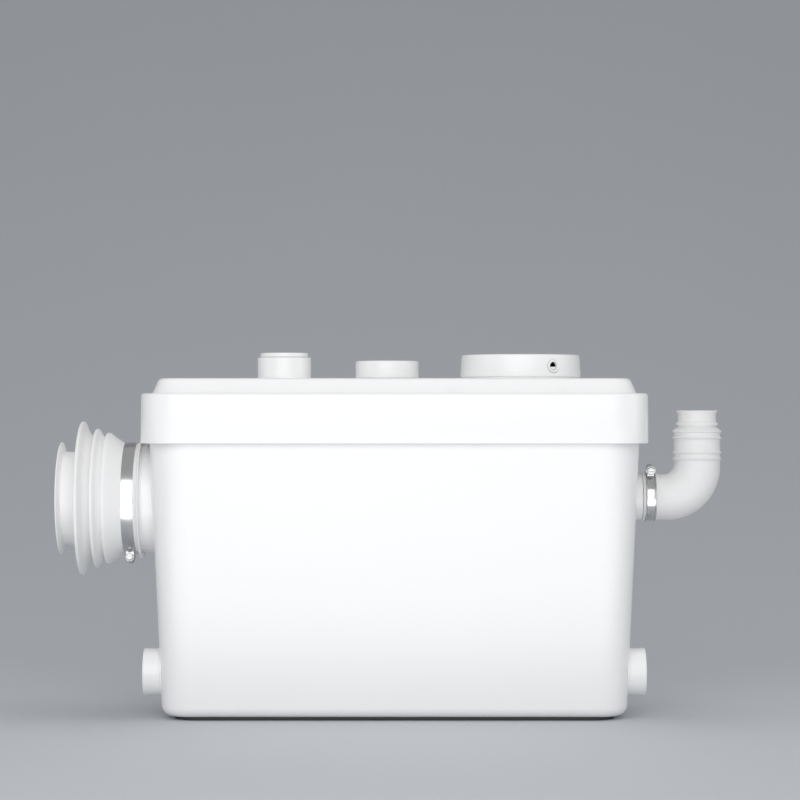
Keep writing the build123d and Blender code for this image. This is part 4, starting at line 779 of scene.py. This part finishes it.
def makeLid():
    d, hole, post = lid, lidHoles, lidPosts
    top, under, underTop = d["top"], d["ledge"] - d["wall"], d["top"] - d["wall"]
    inner = d["ledgeWidth"] + d["wall"]
    shell = boxStack([
        (d["capInset"], top, 0), (d["ledgeWidth"] + d["slant"], top, 3.2),
        (d["ledgeWidth"], d["ledge"], 1.3), (0.0, d["ledge"], 2.8), (d["flare"], d["skirt"], 0.8),
        (d["flare"] + d["wall"], d["skirt"], 0.6), (d["wall"], under, 1.5), (inner, under, 1.0),
        (inner + d["slant"], underTop, 2.0), (d["capInset"], underTop, 0)],
        d["length"], d["depth"], d["corner"])
    obj = asObject(shell, "lidShell")
    foot = underTop - post["flangeDepth"]
    adds = [rod(post["flange"], foot, top - 1, spot) for spot in flangeSpots()]
    adds += [rod(post["switch"], post["switchLow"], top - 1, spot) for spot in post["switchPlaces"]]
    carved(obj, adds, "UNION")
    span = (d["cutLow"], d["cutHigh"])
    cuts = [rod(hole[name], *span, (d[name], 0, 0)) for name in ("motor", "inlet", "vent")]
    cuts += [rod(hole["flangeScrew"], *span, spot) for spot in flangeSpots()]
    cuts += [rod(hole["screwSeat"], d["ledge"] - hole["seatDepth"], d["cutHigh"], spot)
             for spot in screwSpots()]
    cuts += [rod(hole["screw"], *span, spot) for spot in screwSpots()]
    carved(obj, cuts, "DIFFERENCE")
    spigots = [
        lathe([(-3.0, 20.0, 0.4), (-3.0, 24.0, 0), (-1.0, 24.0, 0), (-1.0, 26.2, 0), (0.02, 26.2, 0),
               (0.02, 24.75, 1.1), (d["inletRise"], 24.75, 0.7), (d["inletRise"], 20.0, 0.5)],
              (d["inlet"], 0, top), steps=128),
        lathe([(0.02, 19.0, 0), (-1.0, 19.0, 0), (-1.0, 22.0, 0), (11.0, 22.0, 0.6),
               (11.0, 19.0, 0.4)], (d["vent"], 0, top)),
        lathe([(-1.0, 52.15, 0), (-1.0, 53.05, 0), (4.0, 53.05, 0.3), (4.0, 52.15, 0.3)],
              (d["motor"], 0, top), steps=128),
    ]
    carved(obj, spigots, "UNION")
    finishPiece(obj, "tank_unit", "lid", 30.0)


def crossScrew(spot, screw):
    # a pan head screw with a cross recess, standing in its hole
    seat, head, height = screw["seat"], screw["head"], screw["headHeight"]
    shank, length = screw["shank"], screw["length"]
    whole = lathe([(-length, 0, 0), (-length, shank * 0.6, 0), (-length + 1.2, shank, 0.3),
                   (0, shank, 0), (0, head, 0.15), (height, head * 0.9, height * 0.45),
                   (height, 0, 0)], (spot[0], spot[1], seat), steps=32)
    obj = asObject(whole, "screw")
    reach, width, top = head * 0.55, head * 0.16, seat + height
    x, y, bottom = spot[0], spot[1], top - height * 0.55
    cross = [boxed((x - a, y - b, bottom), (x + a, y + b, top + 1), 0)
             for a, b in ((reach, width), (width, reach))]
    carved(obj, cross, "DIFFERENCE")
    bm = bmesh.new()
    bm.from_mesh(obj.data)
    dropObject(obj)
    return bm


def makeScrews():
    for name, node, spots, screw in (
            ("lidScrewSet", "lid_screws", screwSpots(), lidScrew),
            ("flangeScrewSet", "motor_flange_screws", flangeSpots(), flangeScrew)):
        obj = asObject(gathered([crossScrew(spot, screw) for spot in spots]), name)
        finishPiece(obj, "tank_unit", node)


# Caps on the lid

plugCap = {
    "seam": 0.3,             # gap between the cap and the inlet's rim
    "head": 22.2, "rise": 3.9, "stem": 19.6, "stemEnd": -11.3, "wall": 3, "hollow": 1.6,
    "groove": (-6.4, -4.2), "grooveDepth": 1, "dish": 17.6, "dishDrop": 0.8, "gate": 1.3,
}
ventCap = {
    "radius": 29.3, "foot": 0.15, "top": 16.9, "wall": 2.6, "roof": 2.4, "shadowLine": 1.2,
    "dish": 24.6, "dishDrop": 0.4, "gate": 1.3,
    "notchTurns": (60, 90, 120), "notchHalf": 3.5, "notchTop": 3.15,
}
motorCover = {
    "radius": 56.0, "lean": 1.4, "foot": 0.3, "top": 22.3, "wall": 2.4,
    "shadowLine": 2.0, "shadowDepth": 1.6,   # a rebate round the foot
    "dish": 47.2, "dishDrop": 0.4, "gate": 1.9,
}
cableOutlet = {
    "turn": 30.2, "level": 11.4, "hole": 5.0, "bore": 3.9, "ring": 5.9, "neck": 4.9, "depth": 3.0,
    "gap": 0.6,              # a shadow line round the ring
    "gapDepth": 0.8,
}


def dishedTop(rise, cap, rounding=0.6):
    # a shallow dish with a small gate mark; the plain rings keep its flat shading even
    dish, gate, level = cap["dish"], cap["gate"], rise - cap["dishDrop"]
    return [(rise, dish, rounding), (level, dish - 0.4, rounding), (level, dish - 1.4, 0),
            (level, gate + 1.1, 0), (level, gate + 0.3, 0.2), (level - 0.3, gate, 0),
            (level - 0.3, 0, 0)]


def makePlug():
    c = plugCap
    low, stem, rise, neck = c["stemEnd"], c["stem"], c["rise"], c["stem"] - c["grooveDepth"]
    grooveLow, grooveHigh = c["groove"]
    inner, roof = stem - c["wall"], c["hollow"]
    plug = lathe([
        (low, inner, 0.3), (low, stem, 0.6), (grooveLow, stem, 0.1), (grooveLow, neck, 0.1),
        (grooveHigh, neck, 0.1), (grooveHigh, stem, 0.1), (0, stem, 0.2), (0, c["head"], 0.4),
        (rise, c["head"], 0.8), *dishedTop(rise, c, 0.5), (roof, 0, 0), (roof, inner, 0.8)],
        (lid["inlet"], 0, lid["top"] + lid["inletRise"] + c["seam"]), steps=128)
    finishPiece(asObject(plug, "topInletPlug"), "plug", "inlet_plug", 34.0)


def makeVentCap():
    c = ventCap
    foot, rise, radius, line = c["foot"], c["top"], c["radius"], c["shadowLine"]
    place = (lid["vent"], 0, lid["top"])
    inner, roof = radius - c["wall"], rise - c["roof"]
    vent = lathe([
        (roof, 0, 0), (roof, inner, 1.2), (foot, inner, 0.2), (foot, radius - line, 0.1),
        (line, radius - line, 0.3), (line, radius, 0.3), (rise, radius, 2.0), *dishedTop(rise, c)],
        place, steps=144)
    obj = asObject(vent, "ventCap")
    notches = [turned(boxed((20, -c["notchHalf"], -1), (32, c["notchHalf"], c["notchTop"]), 0),
                      shift(place) @ spin(angle, "Z")) for angle in c["notchTurns"]]
    carved(obj, notches, "DIFFERENCE")
    finishPiece(obj, "vent", "vent_cap", 34.0)


def makeMotorCover():
    c, o = motorCover, cableOutlet
    foot, rise, base, line, wall = c["foot"], c["top"], c["radius"], c["shadowLine"], c["wall"]
    crown, inset = base - c["lean"], base - c["shadowDepth"]
    cover = lathe([
        (rise - wall, 0, 0), (rise - wall, crown - wall + 0.1, 1.0), (foot, base - wall, 0.2),
        (foot, inset, 0.1), (line, inset, 0.3), (line, base, 0.3), (rise, crown, 1.4),
        *dishedTop(rise, c)], (lid["motor"], 0, lid["top"]), steps=192)
    obj = asObject(cover, "motorCover")
    hole = turned(rod(o["hole"], -12, 12), outletMatrix())
    recess = turned(rod(o["ring"] + o["gap"], -o["gapDepth"], 12), outletMatrix())
    carved(obj, [hole, recess], "DIFFERENCE")
    finishPiece(obj, "cover", "motor_cover", 34.0)


def outletMatrix():
    # the cable outlet's frame: Z out of the cover's wall, at the hole's middle
    c = motorCover
    turn, level = math.radians(cableOutlet["turn"]), cableOutlet["level"]
    radius = c["radius"] - c["lean"] * (level - c["foot"]) / (c["top"] - c["foot"])
    out = Vector((math.sin(turn), -math.cos(turn), 0))
    up = Vector((0, 0, 1))
    spot = shift((lid["motor"] + radius * out.x, radius * out.y, lid["top"] + level))
    return spot @ Matrix((up.cross(out), up, out)).transposed().to_4x4()


def makeCableOutlet():
    # a ring round the hole, with a jaw that would hold a lead up against its roof
    bore, ring, neck, depth = (cableOutlet[name] for name in ("bore", "ring", "neck", "depth"))
    collar = lathe([(-depth, bore, 0.2), (-depth, neck, 0.3), (-0.4, neck, 0.1), (-0.4, ring, 0.2),
                    (1.35, ring - 0.15, 0.5), (1.45, bore + 0.9, 0.5), (0.8, bore, 0.5)], steps=72)
    obj = asObject(turned(collar, outletMatrix()), "cableGrommet")
    wide, narrow = bore + 0.2, bore - 0.6
    jaw = lathe([(-depth, 0, 0), (-depth, wide, 0), (-2.0, wide, 0), (-2.0, narrow, 0),
                 (-0.7, narrow, 0.3), (-0.7, 0, 0)], steps=72)
    bmesh.ops.bisect_plane(jaw, geom=jaw.verts[:] + jaw.edges[:] + jaw.faces[:],
                           plane_co=(0, -0.6 * mm, 0), plane_no=(0, 1, 0), clear_outer=True)
    bmesh.ops.holes_fill(jaw, edges=[e for e in jaw.edges if e.is_boundary], sides=0)
    carved(obj, [turned(cleaned(jaw), outletMatrix())], "UNION")
    finishPiece(obj, "cover", "cable_grommet", 40.0)


# Toilet connector

connector = {
    "wall": 2.9,
    "folds": (   # crest place and radius, then the flank and the foot of its fold
        (289.3, 71.4, 284.7, 62.5, 278.1, 55.0),
        (276.0, 64.6, 271.9, 59.4, 267.9, 55.4),
        (265.8, 61.0, 256.0, 54.8, 251.7, 51.75)),
    "crestHalf": 1.3,
    "cuff": [   # place, radius, rounding: from the mouth to the first fold
        (309.8, 52.2, 0.5), (308.7, 52.2, 0.5), (306.4, 43.25, 1.2), (293.6, 43.25, 0.9)],
    "seat": [   # under the clamp, and the lip behind it
        (250.2, 51.05, 0.3), (238.6, 51.05, 0.3), (236.4, 51.9, 1.5), (234.4, 57.3, 0.6),
        (233.8, 57.3, 0.5), (233.8, 50.15, 0.3), (234.6, 50.15, 0.2)],
    "socket": [(234.5, 48.1, 0.3), (256.3, 48.1, 0.5)],
    "cuffInside": [(290.7, 40.35, 1.0), (307.25, 40.35, 2.2), (309.8, 49.3, 0.5)],
}


def makeConnector():
    c = connector
    half, wall = c["crestHalf"], c["wall"]
    outer = list(c["cuff"])
    for place, radius, flankPlace, flank, footPlace, foot in c["folds"]:
        outer += [(place + half, radius, 1.2), (place - half, radius, 1.2), (flankPlace, flank, 2.5),
                  (footPlace, foot, 0.5)]
    first, second, third = c["folds"]
    inner = c["socket"] + [(third[0], third[1] - wall, 1.0)]
    for fold, crest in ((second, third), (first, second)):
        place, radius, flankPlace, flank, footPlace, foot = fold
        inner += [(crest[0], foot - wall, 0.5), (footPlace, foot - wall, 0.5),
                  (flankPlace, flank - wall, 2.0), (place, radius - wall, 1.0)]
    outline = outer + c["seat"] + inner + c["cuffInside"]
    obj = asObject(lathe(outline, (0, 0, toiletInlet["level"]), "-X", steps=192), "toiletConnector")
    finishPiece(obj, "tank_unit", "wc_connector", 50.0)


# Worm drive clamps

toiletClamp = {
    "place": -244.4, "width": 11.2, "housing": 8.0, "rim": 0.0, "seat": 51.05, "worm": 2.6,
    "wormLength": 24.0, "head": 3.6, "rise": 4.4, "level": toiletInlet["level"], "turn": 168.0,
    "side": 1, "tail": (-72.0, 6.0), "slots": 16,
}
dischargeClamp = {
    "place": 237.1, "width": 9.0, "housing": 6.6, "rim": 1.2, "seat": 21.3, "worm": 2.4,
    "wormLength": 19.0, "head": 4.0, "rise": 4.4, "level": outlet["level"], "turn": 10.0,
    "side": -1, "tail": (8.0, 150.0), "slots": 8,
}
clampForm = {
    "band": 0.7, "tail": 0.6, "rimWidth": 0.8, "fit": 0.1, "half": 7.5,   # half the housing's length
    "shell": 0.8, "waistHalf": 3.6, "waistDepth": 0.4, "collar": 0.5, "pitch": 2.6, "slotWidth": 0.9,
    "slotLean": 8, "slotStart": 9,   # degrees
    "screwSlot": 1.0, "screwSlotDepth": 1.2,
}


def clampSeat(c):
    return Matrix.Translation((c["place"] * mm, 0, c["level"] * mm)) @ spin(c["turn"], "X")


def bandOuter(c):
    return c["seat"] + clampForm["fit"] + clampForm["band"]


def wormHeight(c):
    return c["seat"] + clampForm["band"] + 2.0 + c["worm"] + 0.2


def bandTail(c, half, outer):
    # the free end of the strip, lying on the band
    reach = half - clampForm["rimWidth"] - 0.1 if c["rim"] else c["housing"] / 2 - 0.25
    base, high = outer - 0.05, outer - 0.05 + clampForm["tail"]
    tail = bmesh.new()
    roundedWire(tail, [(Vector((x, 0, z)) * mm, rounding) for x, z, rounding in (
        (-reach, base, 0), (-reach, high, 0.2), (reach, high, 0.2), (reach, base, 0))], True)
    bmesh.ops.contextual_create(tail, geom=tail.edges[:])
    start, end = c["tail"]
    turned(tail, spin(start, "X"))
    bmesh.ops.spin(tail, geom=tail.faces[:], cent=(0, 0, 0), axis=(1, 0, 0),
                   angle=math.radians(end) - math.radians(start), steps=28, use_duplicate=False)
    return cleaned(tail)


def makeBand(c, name, body, node):
    f = clampForm
    inner, outer, half = c["seat"] + f["fit"], bandOuter(c), c["width"] / 2
    strip = [(-half, inner, 0.2), (-half, outer, 0.3), (half, outer, 0.3), (half, inner, 0.2)]
    if c["rim"]:   # both edges are turned up
        high, channel = outer + c["rim"], half - f["rimWidth"]
        strip[1:3] = [(-half, high, 0.4), (-channel, high, 0.4), (-channel, outer, 0.3),
                      (channel, outer, 0.3), (channel, high, 0.4), (half, high, 0.4)]
    obj = asObject(lathe(strip, along="X", steps=160), name)
    carved(obj, [bandTail(c, half, outer)], "UNION")
    cuts = []   # slots that the worm bites into, beside the housing
    lean = spin(f["slotLean"], "Z")
    for index in range(c["slots"]):
        slot = boxed((-half * 0.55, -f["slotWidth"] / 2, inner + f["band"] * 0.45),
                     (half * 0.55, f["slotWidth"] / 2, inner + 3.0), 0)
        turn = (index + 1.2) * f["pitch"] / inner + math.radians(f["slotStart"])
        cuts.append(turned(slot, Matrix.Rotation(c["side"] * turn, 4, "X") @ lean))
    carved(obj, cuts, "DIFFERENCE")
    obj.data.transform(clampSeat(c))
    finishPiece(obj, body, node, 34.0)


def makeHousing(c, name, body, node):
    # a pressed saddle on the band with a round tunnel for the worm
    f = clampForm
    outer, height, long, half = bandOuter(c), wormHeight(c), f["half"], c["housing"] / 2
    bore = c["worm"] + f["fit"]
    shell = bore + f["shell"]
    pressed = shell - 0.35
    low = math.sqrt(outer ** 2 - long ** 2) - 0.4
    saddle = asObject(boxed((-half, -long, low), (half, long, height - 0.3), 0.5), name)
    tunnel = lathe([
        (-long, 0, 0), (-long, shell, 0.5), (-2.2, shell, 0.3), (-1.9, pressed, 0.2),
        (1.9, pressed, 0.2), (2.2, shell, 0.3), (long, shell, 0.5), (long, 0, 0)],
        (0, 0, height), "Y", steps=64)
    carved(saddle, [tunnel], "UNION")
    waistHalf, thick = f["waistHalf"], 1.6
    middle = half + thick - f["waistDepth"]
    waist = [boxed((side * middle - thick, -waistHalf, low - 2),
                   (side * middle + thick, waistHalf, height - 1.2), 0.5) for side in (-1, 1)]
    cuts = [rod(bore, -long - 1, long + 1, (0, 0, height), "Y"),
            rod(outer + f["tail"] + 0.02, -half - 2, half + 2, along="X", steps=160)]
    carved(saddle, cuts + waist, "DIFFERENCE")
    saddle.data.transform(clampSeat(c))
    finishPiece(saddle, body, node, 34.0)


def hexHead(c, start, height):
    # a bevelled hexagon on the screw's collar
    f = clampForm
    head = bmesh.new()
    made = bmesh.ops.create_circle(head, cap_ends=True, segments=6, radius=c["head"] * mm)
    moved(head, made["verts"], (0, 0, (start + 0.6) * mm))
    grown = bmesh.ops.extrude_face_region(head, geom=head.faces[:])
    moved(head, newVerts(grown), (0, 0, (c["rise"] - 0.6) * mm))
    cleaned(head)
    near = (start + c["rise"] - 0.2) * mm
    rim = [e for e in head.edges if all(v.co.z > near for v in e.verts)]
    bevelled(head, rim, "EDGES", 0.55 * mm, 3)
    return turned(head, Matrix.Translation((0, 0, height * mm)) @ spin(-90 * c["side"], "X"))


def makeClampScrew(c, name, body, node):
    f = clampForm
    height, start, worm, pitch = wormHeight(c), f["half"] + f["fit"], c["worm"], f["pitch"]
    collar, tip = c["head"] + f["collar"], start - c["wormLength"]
    root, crest = worm * 0.74, worm * 0.99
    thread = [(tip, 0, 0), (tip, worm * 0.6, 0.2)]
    for index in range(int((c["wormLength"] - 3) / pitch)):
        at = tip + 1.2 + index * pitch
        thread += [(at, root, 0), (at + pitch * 0.35, crest, 0.1), (at + pitch * 0.65, crest, 0.1),
                   (at + pitch * 0.98, root, 0)]
    thread += [(start - 0.9, worm * 0.9, 0), (start, worm * 0.9, 0), (start, collar, 0.2),
               (start + 1.0, collar, 0.3), (start + 1.0, 0, 0)]
    along = "Y" if c["side"] > 0 else "-Y"
    screw = asObject(lathe(thread, (0, 0, height), along, steps=48), name)
    carved(screw, [hexHead(c, start, height)], "UNION")
    end, reach, half = start + c["rise"], c["head"] + 1, f["screwSlot"] / 2
    near, far = sorted((c["side"] * (end - f["screwSlotDepth"]), c["side"] * (end + 1)))
    slot = boxed((-reach, near, height - half), (reach, far, height + half), 0)
    carved(screw, [slot], "DIFFERENCE")
    screw.data.transform(clampSeat(c))
    finishPiece(screw, body, node, 34.0)


def makeClamps():
    for c, name, node, body, screwBody in (
            (toiletClamp, "toiletClamp", "wc_clamp", "tank_unit", "toilet_screw"),
            (dischargeClamp, "dischargeClamp", "discharge_clamp", "elbow", "discharge_screw")):
        makeBand(c, name + "Band", body, node + "_band")
        makeHousing(c, name + "Housing", body, node + "_housing")
        makeClampScrew(c, name + "Screw", screwBody, node + "_screw")


# Discharge elbow

elbow = {
    "start": 229.9, "bendStart": 251.5, "bend": 29.6, "bendSteps": 22, "sides": 96,
    "bore": 15.0, "socket": 18.3, "socketEnd": 248.3,
    "pipeBore": 16.1, "pipeStop": 265.8, "mouth": 280.0, "lip": 0.4,
    "leg": 21.15, "swell": 0.7, "sleeve": 21.4,
    "flat": [   # place along X, radius
        (229.9, 21.5), (230.2, 22.0), (232.0, 22.0), (232.4, 21.5), (232.55, 21.3), (241.65, 21.3),
        (241.8, 21.5), (242.1, 22.0), (243.4, 22.0), (244.1, 21.5), (245.0, 21.2), (251.5, 21.15)],
    "ridges": (234.9, 240.6, 254.3, 260.2),
    "ridge": [   # rise from the ridge's crest, radius
        (-2.2, 21.4), (-1.2, 21.6), (-0.5, 22.3), (0.0, 23.0), (0.4, 22.7), (1.1, 21.9), (2.0, 21.5)],
    "collar": [   # level, radius
        (260.7, 22.7), (261.3, 22.1), (263.9, 19.1), (264.4, 18.0), (264.9, 17.6), (265.4, 17.8),
        (265.9, 18.6), (266.2, 19.1), (266.7, 19.45), (267.9, 19.45), (268.5, 19.1), (269.0, 18.2),
        (269.6, 17.75), (270.6, 17.6), (276.4, 17.6), (277.6, 18.0), (279.0, 18.95), (279.7, 19.0),
        (280.0, 18.7)],
}


def makeElbow():
    e, level = elbow, outlet["level"]
    axisPlace, bendEnd = e["bendStart"] + e["bend"], outlet["level"] + e["bend"]
    steps, lip = e["bendSteps"], e["lip"]

    def ring(place, height, turn, radius):
        return (shift((place, 0, height)) @ Matrix.Rotation(turn, 4, "Y"), radius)

    def flat(place, radius):
        return ring(place, level, math.pi / 2, radius)

    def bent(share, radius):
        angle = share * math.pi / 2
        return ring(e["bendStart"] + e["bend"] * math.sin(angle),
                    level + e["bend"] * (1 - math.cos(angle)), math.pi / 2 - angle, radius)

    def upright(height, radius):
        return ring(axisPlace, height, 0, radius)

    rings = [flat(place, radius) for place, radius in e["flat"]]
    for index in range(1, steps):   # the bend is a little fuller than its legs
        share = index / steps
        radius = e["leg"] + (e["sleeve"] - e["leg"]) * share + e["swell"] * math.sin(share * math.pi)
        rings.append(bent(share, radius))
    rings.append(upright(bendEnd, e["sleeve"]))
    for crest in e["ridges"]:   # the last one runs into the collar
        shape = e["ridge"][:4] if crest == e["ridges"][-1] else e["ridge"]
        rings += [upright(crest + rise, radius) for rise, radius in shape]
    rings += [upright(height, radius) for height, radius in e["collar"]]
    rings += [upright(e["mouth"], e["pipeBore"] + lip), upright(e["mouth"] - lip, e["pipeBore"]),
              upright(e["pipeStop"] + 0.2, e["pipeBore"]), upright(e["pipeStop"], e["bore"]),
              upright(bendEnd, e["bore"])]
    rings += [bent(index / steps, e["bore"]) for index in range(steps - 1, 0, -1)]
    rings += [flat(e["bendStart"], e["bore"]), flat(e["socketEnd"] + 0.3, e["bore"]),
              flat(e["socketEnd"], e["socket"]), flat(e["start"] + lip, e["socket"]),
              flat(e["start"], e["socket"] + lip)]
    obj = asObject(ringTube(rings, e["sides"]), "dischargeElbow")
    finishPiece(obj, "elbow", "discharge_elbow", 48.0)


# Base mat

mat = {"length": 400.0, "depth": 146.0, "corner": 22.0, "thickness": 3.0, "edge": 0.8, "capInset": 30}


def makeBaseMat():
    m = mat
    block = boxStack([(m["capInset"], 0, 0), (0, 0, m["edge"]), (0, m["thickness"], m["edge"]),
                      (m["capInset"], m["thickness"], 0)], m["length"], m["depth"], m["corner"])
    finishPiece(asObject(block, "baseMat"), "tank_unit", "base_mat")


# Motor can under its cover

can = {
    "screwHole": 2.0,
    "form": [   # level, radius, rounding
        (140, 7, 0), (140, 10.9, 0), (130, 10.9, 0.4), (130, 13.9, 0.6), (140, 13.9, 0.8),
        (140, 44, 4.0), (310.5, 44, 1.2), (310.5, 52, 0.5), (313.5, 52, 0.9), (313.5, 41.5, 1.6),
        (143, 41.5, 3.0), (143, 18.5, 0.6), (152, 18.5, 0.6), (152, 15.1, 0.3), (143, 15.1, 0),
        (143, 7, 0)],
}


def makeMotorCan():
    obj = asObject(lathe(can["form"], (lid["motor"], 0, 0), steps=144), "motorCan")
    carved(obj, [rod(can["screwHole"], 308, 316, spot) for spot in flangeSpots()], "DIFFERENCE")
    finishPiece(obj, "tank_unit", "motor_can", 30.0)


for makePiece in (makeCamera, makeLamps, makeStage, dressCadNodes, makeTank, makeLid, makeScrews,
                  makePlug, makeVentCap, makeMotorCover, makeCableOutlet, makeConnector, makeClamps,
                  makeElbow, makeBaseMat, makeMotorCan):
    makePiece()
print("pieces ready")
